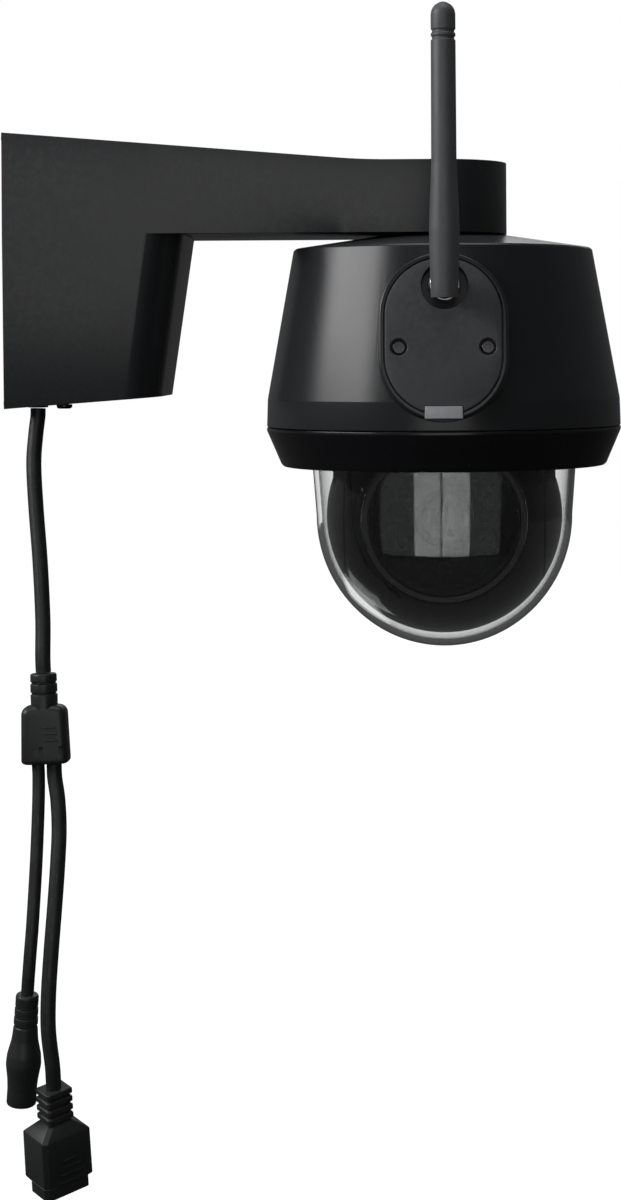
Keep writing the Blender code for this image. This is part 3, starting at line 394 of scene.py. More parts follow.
def block_outline(half_x, half_y, corner, steps=6):
    """A rectangle with round corners, with the same number of points at any size."""
    corners = [(half_x, half_y), (-half_x, half_y), (-half_x, -half_y), (half_x, -half_y)]
    return rounded([(x, y, max(corner, 0.01)) for x, y in corners], closed=True, steps=steps)


def at_height(outline, z):
    return [(point[0], point[1], z) for point in outline]


def hex_key(radius, top, bottom, place):
    """A cutter for a hexagon socket between two heights."""
    return loft("hex", [at_height(hexagon(radius), top), at_height(hexagon(radius), bottom)], place)


def stadium_rings(half, tall, steps):
    """Level rings of one stadium, each drawn in by an inset at a height."""
    return [at_height(stadium(half - inset, tall - inset), z) for inset, z in steps]


def apply_modifiers(obj):
    graph = bpy.context.evaluated_depsgraph_get()
    mesh = bpy.data.meshes.new_from_object(obj.evaluated_get(graph))
    obj.modifiers.clear()
    old = obj.data
    obj.data = mesh
    bpy.data.meshes.remove(old)


def boolean(body, operation, *others):
    """Cuts or joins the others and removes them."""
    for other in others:
        step = body.modifiers.new(operation, "BOOLEAN")
        step.operation = operation
        step.object = other
        step.material_mode = "INDEX"
    apply_modifiers(body)
    for other in others:
        bpy.data.objects.remove(other)
    smoothed(body.data)
    return body


def cut(body, *others):
    return boolean(body, "DIFFERENCE", *others)


def join(body, *others):
    return boolean(body, "UNION", *others)


def drill(radius, top, bottom, place, chamfer=0.0, sides=48):
    """A cutter for a round hole between two heights, with its mouth at the top flared by a chamfer."""
    profile = [(0, top + 1), (radius + chamfer + 1, top + 1), (radius, top - chamfer), (radius, bottom),
               (0, bottom)]
    if not chamfer:
        profile[1:3] = [(radius, top + 1)]
    return lathe("drill", profile, place, sides=sides)


def slab(low, high, place=WORLD_MM, bevel=0.0, segments=2, name="slab", finish=None):
    """A box between two corners, with its edges rounded."""
    shape = bmesh.new()
    bmesh.ops.create_cube(shape, size=1)
    for vert in shape.verts:
        for k in range(3):
            vert.co[k] = high[k] if vert.co[k] > 0 else low[k]
    if bevel:
        bmesh.ops.bevel(shape, geom=shape.edges[:], offset=bevel, segments=segments, profile=0.5,
                        affect="EDGES")
    return solid(name, shape, place, finish)


def stands_for(obj, body, slot, *nodes):
    """Puts a finished piece on its body in place of CAD nodes."""
    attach(obj, body)
    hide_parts(*(nodes or (obj.name.removesuffix("_fine"),)))
    return obj


# Camera

EYE_LEVEL = -0.0264
DISTANCE = 0.853
ROLL = -0.35

camera_data = bpy.data.cameras.new("camera")
camera_data.sensor_width = 36
camera_data.lens = 71.64
camera_data.shift_x = -0.1108
camera_data.shift_y = -0.2108
camera = linked("camera", camera_data)
camera.matrix_world = (
    Matrix.Translation((HEAD.x, -DISTANCE, EYE_LEVEL)) @ Matrix.Rotation(math.radians(90), 4, "X")
    @ Matrix.Rotation(math.radians(ROLL), 4, "Z")
)
bpy.context.scene.camera = camera


# Cables: the same routes as their solids, in metres

MAIN_ROUTE = [
    (0.0098, -0.0160, -0.0470), (0.0097, -0.0160, -0.0500), (0.0090, -0.0168, -0.0567),
    (0.0086, -0.0185, -0.0664), (0.0097, -0.0212, -0.0809), (0.0117, -0.0250, -0.1001),
    (0.0131, -0.0285, -0.1192), (0.0134, -0.0308, -0.1318), (0.0136, -0.0310, -0.1374),
]
DC_ROUTE = [
    (0.0118, -0.0321, -0.1690), (0.0120, -0.0323, -0.1735), (0.0121, -0.0340, -0.1835),
    (0.0118, -0.0370, -0.2010), (0.0110, -0.0400, -0.2207), (0.0103, -0.0413, -0.2315),
    (0.0097, -0.0416, -0.2395), (0.0092, -0.0410, -0.2451),
]
LAN_ROUTE = [
    (0.0173, -0.0321, -0.1690), (0.0175, -0.0323, -0.1735), (0.0188, -0.0340, -0.1810),
    (0.0195, -0.0360, -0.1910), (0.0193, -0.0386, -0.2027), (0.0187, -0.0411, -0.2154),
    (0.0178, -0.0434, -0.2300), (0.0170, -0.0449, -0.2450), (0.0170, -0.0454, -0.2570),
    (0.0181, -0.0443, -0.2691), (0.0182, -0.0427, -0.2765),
]


def smooth(route, per_leg=10):
    """Points along a Catmull-Rom curve through the route."""
    points = [Vector(p) for p in route]
    ends = [2 * points[0] - points[1]] + points + [2 * points[-1] - points[-2]]
    fine = []
    for i in range(len(points) - 1):
        p0, p1, p2, p3 = ends[i:i + 4]
        for k in range(per_leg):
            t = k / per_leg
            fine.append(0.5 * (
                2 * p1 + (p2 - p0) * t + (2 * p0 - 5 * p1 + 4 * p2 - p3) * t * t
                + (3 * p1 - p0 - 3 * p2 + p3) * t ** 3
            ))
    fine.append(points[-1])
    return fine


def cable(name, route, radius):
    curve = bpy.data.curves.new(name, "CURVE")
    curve.dimensions = "3D"
    curve.bevel_depth = radius
    curve.bevel_resolution = 7
    curve.use_fill_caps = True
    spline = curve.splines.new("POLY")
    points = smooth(route)
    spline.points.add(len(points) - 1)
    for point, place in zip(spline.points, points):
        point.co = (*place, 1)
    spline.use_smooth = True
    curve.materials.append(MATERIALS["jacket"])
    return linked(name, curve)


def ribbed(radii, top, pitch, groove, depth=0.35, soft=0.35):
    """Outline of a ribbed collar: one rounded rib for each radius."""
    points = []
    for i, radius in enumerate(radii):
        z = top - i * pitch
        points += [(radius, z, soft), (radius, z - pitch + groove, soft),
                   (radius - depth, z - pitch + groove, 0.1), (radius - depth, z - pitch, 0.1)]
    return points


def collar_slots(count, top, pitch, tall, half_width, near, place):
    """Cutters for the slots that make a strain relief bend: one below each rib, at the front and the back."""
    slots = []
    for i in range(count):
        z = top - (i + 1) * pitch
        for side in (-1, 1):
            low, high = sorted((side * near, side * 8))
            slots.append(slab((-half_width, low, z), (half_width, high, z + tall), place, 0.2))
    return slots


def build_splitter():
    """Ribbed collar on a block with soft shoulders, three plain moulded bars and two small slots."""
    body = lathe("cable_splitter_fine", [(0, 0), (4.5, 0, 0.6)] + ribbed([4.55, 4.6], 0, 3.6, 0.8)[1:] + [
        (4.65, -7.2, 0.4), (4.55, -14.0), (0, -14.0),
    ], SPLITTER_MM, "cable_moulding", sides=48)
    cut(body, *collar_slots(2, 0, 3.6, 0.9, 2.9, 2.7, SPLITTER_MM))
    rings = []
    shoulder = 3.0
    for k in range(7):
        angle = math.radians(90 * k / 6)
        draw_in = shoulder * (1 - math.sin(angle))
        rings.append(at_height(block_outline(7.7 - draw_in, 4.8 - 0.75 * draw_in, 2.6 - 0.3 * draw_in),
                               -10.8 - shoulder * (1 - math.cos(angle))))
    for inset, z in ((0.0, -29.3), (0.12, -30.0), (0.5, -30.5), (1.0, -30.8)):
        rings.append(at_height(block_outline(8.1 - inset, 4.95 - inset, 2.4), z))
    join(body, loft("splitter_block", rings, SPLITTER_MM, "cable_moulding"))
    bars = [
        slab((0.2, -5.15, -18.4 - 2.2 * k), (4.2 + 0.4 * k, -4.4, -17.9 - 2.2 * k), SPLITTER_MM, 0.15)
        for k in range(3)
    ]
    join(body, *bars)
    cut(body, *[slab((x, -6, -27.4), (x + 1.3, -4.3, -24.6), SPLITTER_MM, 0.1) for x in (-1.6, 5.2)])
    return stands_for(body, "bracket", "cable_moulding", "cable_splitter")


def build_dc_jack():
    jack = lathe("dc_jack_fine", [
        (0, 0), (3.6, 0, 0.5), (3.9, -0.8, 0.2), *ribbed([3.9, 4.0, 4.1], -1.5, 3.2, 0.8, 0.25),
        (4.1, -11.5, 0.3), (4.5, -15.8, 9), (5.75, -21.2, 9), (6.0, -24.6, 7), (5.25, -29.6, 9),
        (5.0, -33.0, 6), (5.05, -38.9, 0.9), (3.4, -38.9, 0.2), (2.75, -38.4, 0.1), (2.75, -30.0), (0, -30.0),
    ], DC_MM, "cable_moulding", sides=64)
    cut(jack, *collar_slots(3, -1.5, 3.2, 0.9, 2.7, 2.5, DC_MM))
    return stands_for(jack, "bracket", "cable_moulding", "dc_jack")


def socket_outline(half_x, half_y, centre=(0, 0), chamfer=1.5, corner=0.6):
    """A rectangle with one corner cut off and every corner softened."""
    left, right, low, high = -half_x, half_x, -half_y, half_y
    points = [(right, high, corner), (left, high, corner), (left, low + chamfer, 0.35),
              (left + chamfer, low, 0.35), (right, low, corner)]
    return rounded([(x + centre[0], y + centre[1], r) for x, y, r in points], closed=True)


def build_rj45():
    """Square ribbed collar, sloped shoulders, a body with four plain moulded bars and a stepped lip."""
    rings = []
    for i in range(4):
        top = -3.0 * i
        for half_x, half_y, z in (
            (4.65, 3.9, top), (4.9, 4.15, top - 0.3), (4.9, 4.15, top - 1.75), (4.65, 3.9, top - 2.05),
            (4.3, 3.55, top - 2.15), (4.3, 3.55, top - 2.85),
        ):
            rings.append(at_height(socket_outline(half_x, half_y, chamfer=0.8), z))
    lip = (-0.8, -1.8)
    for half_x, half_y, z, centre in (
        (4.6, 3.8, -12.0, (0, 0)), (8.85, 6.8, -15.25, (0, 0)), (9.1, 7.0, -15.7, (0, 0)),
        (9.2, 7.1, -31.9, (0, 0)), (9.1, 7.0, -32.25, (0, 0)), (8.4, 5.3, -32.35, lip),
        (8.3, 5.2, -32.6, lip), (8.3, 5.2, -36.4, lip), (8.05, 4.95, -36.7, lip),
    ):
        rings.append(at_height(socket_outline(half_x, half_y, centre), z))
    body = loft("rj45_socket_fine", rings, RJ45_MM, "cable_moulding")
    bars = []
    for x, half, z in ((0.25, 2.7, -23.3), (1.0, 3.45, -25.8), (1.1, 4.6, -28.4), (0.6, 4.85, -31.2)):
        bars.append(slab((x - half, -7.5, z - 0.6), (x + half, -6.6, z), RJ45_MM, 0.15))
    join(body, *bars)
    low, high = (lip[0] - 6, lip[1] - 4.3), (lip[0] + 6, lip[1] + 4.3)
    cut(body, slab((*low, -39.5), (*high, -26.0), RJ45_MM, 0.15))
    return stands_for(body, "bracket", "cable_moulding", "rj45_socket")


def build_gland():
    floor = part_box("cable_gland")[0].z / MM
    gland = lathe("cable_gland_fine", [
        (0, -40.9), (5.2, -40.9, 0.3), (5.2, -42.7, 0.2), (3.5, -42.7, 0.1), (3.5, floor, 0.25), (0, floor),
    ], GLAND_MM, "rubber", sides=48)
    return stands_for(gland, "bracket", "rubber", "cable_gland")


gland = build_gland()
splitter = build_splitter()
dc_jack = build_dc_jack()
rj45 = build_rj45()
for node_name, route, radius, on_it in (
    ("main_cable", MAIN_ROUTE, 0.00265, [splitter, gland]),
    ("dc_cable", DC_ROUTE, 0.0022, [dc_jack, "dc_jack_pin"]),
    ("lan_cable", LAN_ROUTE, 0.0026, [rj45, "rj45_contacts"]),
):
    made = cable(f"{node_name}_fine", route, radius)
    stands_for(made, "bracket", "cable_jacket", node_name)


# Bracket

ARM_HALF = 30.0
ARM_TOP = 38.5
ARM_LOW = 13.4
WALL_TOP = 48.5
ARM_END = 174.65
ARM_CORNER = 24.0
BREAK_X = 124.6
BEND = 9.0
FRONT_X = 61.35
LEAN = 0.144
RISE = 0.0723
BASE_LOW = -46.95
FOOT_HALF = 28.1
FRONT_CORNER = 12.5


def top_height(x):
    """The arm's top: it slopes from the wall and turns level in a soft bend."""
    slope = (WALL_TOP - ARM_TOP) / BREAK_X
    past = x - BREAK_X
    if past >= BEND:
        return ARM_TOP
    if past <= -BEND:
        return ARM_TOP - slope * past
    return ARM_TOP + slope * (past - BEND) ** 2 / (4 * BEND)


def side_corner(radius, x, half, steps=14):
    """Half of a rounded end, seen from above, from the -Y side to the front face."""
    points = []
    for k in range(steps + 1):
        angle = math.radians(-90 + 90 * k / steps)
        points.append((x - radius + radius * math.cos(angle), -half + radius + radius * math.sin(angle)))
    return points


def mirrored(points):
    return points + [(x, -y) for x, y in reversed(points)]


def bracket_skin():
    """The outer skin of the bracket, open at the wall, as one bmesh in millimetres."""
    shape = bmesh.new()
    new = shape.verts.new
    arm_end = side_corner(ARM_CORNER, ARM_END, ARM_HALF)
    base_end = side_corner(FRONT_CORNER, FRONT_X, ARM_HALF)
    start = base_end[0][0]
    stations = [0, start] + [BREAK_X + BEND * k / 4 for k in range(-4, 5)]

    def base_point(x, y, down):
        z = ARM_LOW - down
        share = down / (ARM_LOW - BASE_LOW)
        inset = (ARM_HALF - FOOT_HALF) * share
        lean = LEAN * down if x > 0 else 0
        return Vector((x - lean * (x / start if x < start else 1), y - math.copysign(inset, y), z))

    def foot(x, y):
        down = ARM_LOW - BASE_LOW
        for _ in range(8):
            point = base_point(x, y, down)
            down = ARM_LOW - (BASE_LOW + RISE * point.x)
        return base_point(x, y, down)

    top, low = {}, {}
    for side in (-1, 1):
        for x in stations:
            top[side, x] = new((x, side * ARM_HALF, top_height(x)))
        for x in stations:
            low[side, x] = new((x, side * ARM_HALF, ARM_LOW))
    arm_top = [new((x, y, ARM_TOP)) for x, y in mirrored(arm_end)]
    arm_low = [new((x, y, ARM_LOW)) for x, y in mirrored(arm_end)]
    ring = mirrored(base_end)
    base_top = [low[-1, start]] + [new((x, y, ARM_LOW)) for x, y in ring[1:-1]] + [low[1, start]]
    base_foot = [new(foot(x, y)) for x, y in ring]
    wall_foot = {side: new(foot(0, side * ARM_HALF)) for side in (-1, 1)}

    for a, b in zip(stations, stations[1:]):
        shape.faces.new((top[-1, a], top[-1, b], top[1, b], top[1, a]))
        for side in (-1, 1):
            shape.faces.new((top[side, a], top[side, b], low[side, b], low[side, a]))
    last = stations[-1]
    for side, index in ((-1, 0), (1, -1)):
        shape.faces.new((top[side, last], arm_top[index], arm_low[index], low[side, last]))
    for k in range(len(arm_top) - 1):
        shape.faces.new((arm_top[k], arm_top[k + 1], arm_low[k + 1], arm_low[k]))
    shape.faces.new([top[-1, last]] + arm_top + [top[1, last]])
    shape.faces.new(
        base_top + [low[1, x] for x in stations[2:]] + arm_low[::-1] + [low[-1, x] for x in stations[:1:-1]]
    )
    for k in range(len(base_top) - 1):
        shape.faces.new((base_top[k], base_top[k + 1], base_foot[k + 1], base_foot[k]))
    for side, index in ((-1, 0), (1, -1)):
        shape.faces.new((low[side, 0], low[side, start], base_foot[index], wall_foot[side]))
    shape.faces.new([wall_foot[-1]] + base_foot + [wall_foot[1]])
    bmesh.ops.recalc_face_normals(shape, faces=shape.faces)
    sharp = [e for e in shape.edges if len(e.link_faces) == 2 and e.calc_face_angle() > math.radians(40)]
    bmesh.ops.bevel(shape, geom=sharp, offset=0.55, segments=3, profile=0.5, affect="EDGES",
                    clamp_overlap=True)
    return shape


def build_shell():
    shell = solid("bracket_shell_fine", bracket_skin(), WORLD_MM, "case")
    skin = shell.modifiers.new("wall", "SOLIDIFY")
    skin.thickness = 0.0025
    skin.offset = -1
    skin.use_even_offset = True
    apply_modifiers(shell)
    cut(
        shell,
        drill(10.9, 20, 5, HEAD_MM, sides=64),
        drill(3.8, -35, -60, GLAND_MM),
        drill(1.8, -35, -60, LOCK_MM, sides=24),
    )
    stands_for(shell, "bracket", "case", "bracket_shell")


def build_locking_screw():
    foot = BASE_LOW + RISE * LOCK_X
    screw = lathe("locking_screw_fine", [
        (0, -37.5), (1.5, -37.5, 0.2), (1.5, foot - 0.3), (2.8, foot - 0.3, 0.2), (2.8, foot - 1.2, 0.5),
        (2.2, foot - 1.8, 0.5), (0, foot - 1.8),
    ], LOCK_MM, "black_steel", sides=40)
    cut(screw, hex_key(1.3, foot - 1.0, foot - 3, LOCK_MM))
    stands_for(screw, "bracket", "black_steel", "locking_screw")


# Head

BOSS_SIZE = (21.5, 28.5)
COVER_SIZE = (19.5, 26.5)
COVER_SCREWS = (("left", -14.8), ("right", 14.8))


def cover_screw_place(x):
    return axes(COVER_MM @ Vector((x, -3.8, 0)), X, COVER_UP, COVER_OUT)


def tab_way():
    """A cutter for the room round the tab at the cover's foot."""
    return slab((-6.55, -33.6, 0.3), (6.55, -23.6, 4.3), COVER_MM)


def build_housing():
    wall = 2.5
    housing = lathe("head_housing_fine", [
        (7.5, 27.0), (10.5, 27.0, 0.4), (10.5, 11.4, 0.4), (21.0, 11.4, 0.2), (21.0, 13.0, 0.2),
        (24.0, 13.0, 6), (RIM[0] - 0.7, RIM[1] + 0.25, 0.9), (RIM[0] + 0.05, RIM[1] - 0.45, 0.6),
        (KNEE[0], KNEE[1], 2.2), (SEAM[0], SEAM[1], 0.35), (60.2, SEAM[1], 0.2), (KNEE[0] - wall, KNEE[1]),
        (RIM[0] - wall, 5.8), (49.0, 6.2), (24.0, 9.5), (7.5, 8.8),
    ], finish="case", sides=192, steps=6)
    boss = stadium_rings(*BOSS_SIZE, (
        (-1.0, -9.0), (-0.05, 0.6), (0.10, 1.25), (0.28, 1.52), (0.52, 1.67), (0.80, 1.72),
    ))
    join(housing, loft("cover_boss", boss, COVER_MM, "case"))
    pocket = stadium_rings(*BOSS_SIZE, (
        (1.20, 3.0), (1.45, 1.80), (1.52, 1.62), (1.70, 1.45), (1.70, -2.2),
    ))
    cut(
        housing, loft("cover_pocket", pocket, COVER_MM),
        slab((-11, -22, -12), (11, 0, 6), COVER_MM, name="service_way"),
        drill(3.5, 62, 40, JACK_MM),
        tab_way(),
        *[drill(1.6, -1, -8.4, cover_screw_place(x), sides=24) for _, x in COVER_SCREWS],
    )
    stands_for(housing, "bracket", "case", "head_housing")


def build_ring_screw(number, spot):
    place = axes(spot, X, Y, Z)
    screw = lathe(f"ring_screw_{number}_fine", [
        (0, -47.0), (1.3, -47.0, 0.2), (1.3, -65.3), (2.7, -65.3, 0.2), (2.7, -66.8, 0.5),
        (2.2, -67.2, 0.4), (0, -67.2),
    ], place, "black_steel", sides=40)
    cut(screw, hex_key(1.25, -66.2, -68, place))
    stands_for(screw, "bracket", "black_steel", f"ring_screw_{number}")


def build_lower_ring():
    top = SEAM[1] - 0.3
    ring = lathe("lower_ring_fine", [
        (57.2, top + 2.5), (59.8, top + 2.5, 0.2), (59.8, top, 0.1), (63.0, top, 0.25),
        (63.05, top - 1.0, 0.5), (57.95, -67.5, 1.0), (57.1, -68.3, 0.5), (48.0, -68.3, 0.3),
        (47.7, -67.8, 0.1), (47.7, -64.9), (51.0, -64.9), (51.0, top), (57.2, top),
    ], finish="band", sides=192)
    ways = []
    for number, angle in enumerate((90, 210, 330), 1):
        turn = math.radians(angle)
        spot = HEAD + 54.0 * MM * Vector((math.cos(turn), math.sin(turn), 0))
        place = axes(spot, X, -Y, -Z)
        ways += [drill(1.8, 72, 45, place, sides=24), drill(3.0, 67.6, 65.0, place, 0.3, sides=40)]
        build_ring_screw(number, spot)
    cut(ring, *ways)
    stands_for(ring, "bracket", "band", "lower_ring")


def build_dome():
    wide, deep, foot, wall = 45.6, 46.7, 47.2, 2.3
    steps = 48

    def bowl(inset):
        """Half of the round end, from the level of the ball's centre down to its lowest point."""
        points = []
        for k in range(steps + 1):
            angle = math.radians(90 * k / steps)
            points.append(((wide - inset) * math.cos(angle), BALL.z / MM - (deep - inset) * math.sin(angle)))
        points[-1] = (0, points[-1][1])
        return points

    dome = lathe("clear_dome_fine", bowl(wall)[::-1] + [
        (foot - wall, -62.6, 0.1), (50.6, -62.6, 0.2), (50.6, -64.6, 0.2), (foot, -64.6, 0.2),
    ] + bowl(0), finish="dome", sides=192, sharp=50)
    stands_for(dome, "bracket", "dome_glass", "clear_dome")


def build_cover_screw(side, place):
    screw = lathe(f"cover_screw_{side}_fine", [
        (0, 1.25), (1.9, 1.25, 0.1), (2.4, 0.9, 0.2), (2.4, 0.3), (1.3, 0.3), (1.3, -7.5, 0.2), (0, -7.5),
    ], place, "black_steel", sides=48)
    cut(screw, hex_key(1.15, 2.0, 0.4, place))
    stands_for(screw, "bracket", "black_steel", f"cover_screw_{side}")


def build_cover():
    rings = stadium_rings(*COVER_SIZE, (
        (0.15, -1.0), (0, -0.85), (0, 1.45), (0.06, 1.62), (0.16, 1.73), (0.32, 1.80),
    ))
    cover = loft("access_cover_fine", rings, COVER_MM, "cover")
    cut(
        cover,
        drill(8.0, 59.6, 50, JACK_MM, 0.35, sides=72),
        tab_way(),
    )
    for side, x in COVER_SCREWS:
        place = cover_screw_place(x)
        cut(cover, drill(1.6, 3, -3, place, sides=32), drill(2.8, 1.8, 0.0, place, 0.30))
        build_cover_screw(side, place)
    stands_for(cover, "bracket", "cover", "access_cover")
    tab = slab((-6.25, -27.95, 0.6), (6.25, -23.75, 2.0), COVER_MM, 0.25, 3, "cover_tab_fine", "tab")
    stands_for(tab, "bracket", "light_tab", "cover_tab")


# Antenna

def build_jack_nut():
    nut = lathe("jack_nut_fine", [
        (3.5, 56.8), (4.85, 56.8, 0.2), (5.4, 56.3, 0.15), (5.4, 55.0, 0.2), (3.5, 55.0),
    ], JACK_MM, "steel", sides=64)
    stands_for(nut, "bracket", "bright_steel", "jack_nut")


def across_pin(name, radius, sides):
    """A cutter or core along the elbow's pin, longer than the elbow is wide."""
    return lathe(name, [(0, 10), (radius, 10), (radius, -10), (0, -10)], ACROSS_MM, sides=sides)


def build_antenna_base():
    base = lathe("antenna_base_fine", [
        (0, 69.5), (4.0, 69.5, 0.3), (4.6, 68.9, 0.3), (4.6, 58.0, 0.3), (4.2, 57.0, 0.2), (3.5, 57.0),
        (3.5, 64.5), (0, 64.5),
    ], JACK_MM, "antenna", sides=56)
    join(
        base,
        slab((-1.6, -3.0, 68.0), (1.6, 3.0, ELBOW), JACK_MM),
        lathe("tongue_end", [(0, 1.6), (3.0, 1.6, 0.3), (3.0, -1.6, 0.3), (0, -1.6)],
              ACROSS_MM, "antenna", 48),
    )
    cut(base, across_pin("tongue_hole", 1.4, 32))
    stands_for(base, "antenna_base", "antenna_plastic", "antenna_base")


def build_antenna_rod():
    """A tapered rod on the elbow: round behind, square in front at its foot, and slotted for the tongue."""
    lift = -JACK.z / MM
    top, shaft = 86.2 + lift, 4.05
    tip = [(0, top), (1.2, top - 0.2, 4), (2.7, top - 1.1, 3), (3.7, top - 2.4, 3), (shaft, top - 4.0, 4)]
    grooves = []
    for z in (77.2 + lift, 75.0 + lift):
        grooves += [(shaft, z, 0.15), (shaft - 0.4, z - 0.45, 0.2), (shaft - 0.4, z - 1.05, 0.2),
                    (shaft, z - 1.5, 0.15)]
    rod = lathe("antenna_rod_fine", tip + grooves + [
        (shaft + 0.1, 33.6 + lift, 30), (4.8, 18.0 + lift, 30), (5.0, 12.0 + lift, 20), (4.6, 0, 20),
        (4.5, -4.5, 0.2), (0, -4.5),
    ], UPRIGHT_MM, "antenna", sides=72)
    outline = across_pin("foot_round", 4.5, 96)
    join(
        outline,
        slab((-10, -10, 0), (10, 10, 100), UPRIGHT_MM),
        slab((-10, -10, -4.5), (10, 0, 50), UPRIGHT_MM),
    )
    boolean(rod, "INTERSECT", outline)
    cut(rod, slab((-1.9, -3.3, -6.7), (1.9, 6.7, 3.3), UPRIGHT_MM), across_pin("pin_way", 1.4, 32))
    stands_for(rod, "antenna_rod", "antenna_plastic", "antenna_rod")


# Eye

BALL_RADIUS = 42.0
BALL_WALL = 2.0
BALL_HALF = 33.7
BALL_FRONT = 30.7
BALL_SEAM = 12.0


def sphere_line(radius, start, stop, steps):
    """Points (radius, distance) on the ball's section between two distances in front of its centre."""
    first, last = math.acos(start / radius), math.acos(stop / radius)
    return [(radius * math.sin(first + (last - first) * k / steps),
             radius * math.cos(first + (last - first) * k / steps)) for k in range(steps + 1)]


def cheeks(half):
    """Cutters that flatten the ball's two sides at this distance from its middle."""
    spans = ((-half - 20, -half), (half, half + 20))
    return [slab((low, -60, -60), (high, 60, 60), EYE_MM) for low, high in spans]


def build_ball_front():
    shell = lathe("ball_front_fine", [
        (24.8, 29.0), (28.2, 29.0), (28.2, BALL_FRONT - 0.15), (28.35, BALL_FRONT),
        *sphere_line(BALL_RADIUS, BALL_FRONT - 0.1, BALL_SEAM, 28),
        *sphere_line(BALL_RADIUS - BALL_WALL, BALL_SEAM, 27.0, 12), (24.8, 27.0),
    ], EYE_MM, "ball", sides=144)
    cut(shell, *cheeks(BALL_HALF))
    stands_for(shell, "eye", "ball_gloss", "ball_front")


def build_ball_rear():
    back = BALL_RADIUS - BALL_WALL
    outer = sphere_line(BALL_RADIUS, BALL_SEAM - 0.3, -BALL_RADIUS, 56)
    outer[-1] = (0, -BALL_RADIUS)
    rear = lathe("ball_rear_fine", [(0, BALL_SEAM - 0.3)] + outer, EYE_MM, "ball", sides=144)
    inner = sphere_line(back, 20.0, -back, 40)
    inner[-1] = (0, -back)
    hollow = lathe("hollow", [(0, 20.0)] + inner, EYE_MM, sides=96)
    cut(hollow, *cheeks(BALL_HALF - BALL_WALL))
    side_on = axes(BALL, -Z, Y, X)
    cut(rear, *cheeks(BALL_HALF), hollow)
    cut(
        rear,
        lathe("way", [(0, -28.7), (2.8, -28.7), (2.8, -36.7), (0, -36.7)], side_on, sides=40),
        lathe("way", [(0, 36.7), (5.8, 36.7), (5.8, 28.7), (0, 28.7)], side_on, sides=48),
    )
    stands_for(rear, "eye", "ball_gloss", "ball_rear")


def build_bezel():
    bezel = lathe("bezel_ring_fine", [
        (26.1, 31.2, 0.2), (27.6, 31.2, 0.3), (27.9, 30.6, 0.2), (27.9, 29.3), (25.9, 29.3),
        (25.9, 30.8, 0.15),
    ], EYE_MM, "bezel", sides=144)
    stands_for(bezel, "eye", "bezel", "bezel_ring")


def build_window():
    """The extra point before its edge keeps the flat's smooth normals level, so reflections stay straight."""
    window = lathe("front_window_fine", [
        (0, 30.5), (25.0, 30.5), (25.5, 30.5, 0.2), (25.6, 29.3, 0.1), (0, 29.3),
    ], EYE_MM, "window", sides=120)
    stands_for(window, "eye", "dark_glass", "front_window")


def build_lens():
    barrel = lathe("lens_barrel_fine", [
        (0, 20.0), (7.4, 20.0), (7.6, 25.6, 0.2), (8.4, 27.0, 0.2), (9.2, 27.0, 0.4), (9.8, 26.0, 0.3),
        (9.8, 9.2), (0, 9.2),
    ], EYE_MM, "dark", sides=96)
    stands_for(barrel, "eye", "inner_plastic", "lens_barrel")
    lens = lathe("lens_glass_fine", [
        (0, 26.2), (3.5, 25.7, 8), (6.0, 24.3, 8), (7.1, 22.5, 0.2), (7.1, 20.4), (0, 20.4),
    ], EYE_MM, "lens", sides=96)
    stands_for(lens, "eye", "dark_glass", "lens_glass")


def build_yoke():
    """A disc, two arms and two caps that complete the ball's round outline."""
    yoke = lathe("yoke_fine", [
        (5.0, -33.0), (8.0, -33.0, 0.2), (8.0, -40.8, 0.2), (41.0, -40.8, 0.3), (41.0, -42.8, 0.3),
        (5.0, -42.8),
    ], finish="ball", sides=120)
    inner = 34.3
    edge = math.acos(inner / BALL_RADIUS)
    centre = BALL.z / MM
    for side, seat in ((-1, 2.8), (1, 2.5)):
        low, high = sorted((side * 34.7, side * 38.7))
        out = axes(BALL, -side * Z, Y, side * X)
        turns = [edge * k / 20 for k in range(21)]
        cap = [(BALL_RADIUS * math.sin(turn), BALL_RADIUS * math.cos(turn)) for turn in turns]
        cap[0] = (0, BALL_RADIUS)
        join(
            yoke,
            lathe("cap", cap + [(0, inner)], out, "ball", 96),
            slab((low, -12, centre + 10.3), (high, 12, centre + 44.3), HEAD_MM, 0.3),
        )
        cut(yoke, lathe("seat", [(0, 39.3), (seat, 39.3), (seat, 29.3), (0, 29.3)], out, sides=40))
    stands_for(yoke, "yoke", "ball_gloss", "yoke")


build_shell()
build_locking_screw()
build_housing()
build_lower_ring()
build_dome()
build_cover()
build_jack_nut()
build_antenna_base()
build_antenna_rod()
build_ball_front()
build_ball_rear()
build_bezel()
build_window()
build_lens()
build_yoke()


# Floor, light and sky

def area_light(name, at, towards, size, radiance, pieces=(), link="EXCLUDE"):
    """A soft box of this radiance that spares the named pieces, or lights nothing but them."""
    data = bpy.data.lights.new(name, "AREA")
    data.shape = "RECTANGLE"
    data.size, data.size_y = size
    data.energy = radiance * math.pi * size[0] * size[1]
    light = linked(name, data)
    light.location = at
    light.rotation_euler = (Vector(towards) - Vector(at)).to_track_quat("-Z", "Y").to_euler()
    light.visible_camera = False
    if pieces:
        group = bpy.data.collections.new(f"{name}_pieces")
        light.light_linking.receiver_collection = group
        for piece in pieces:
            group.objects.link(bpy.data.objects[piece])
        for entry in group.collection_objects:
            entry.light_linking.link_state = link


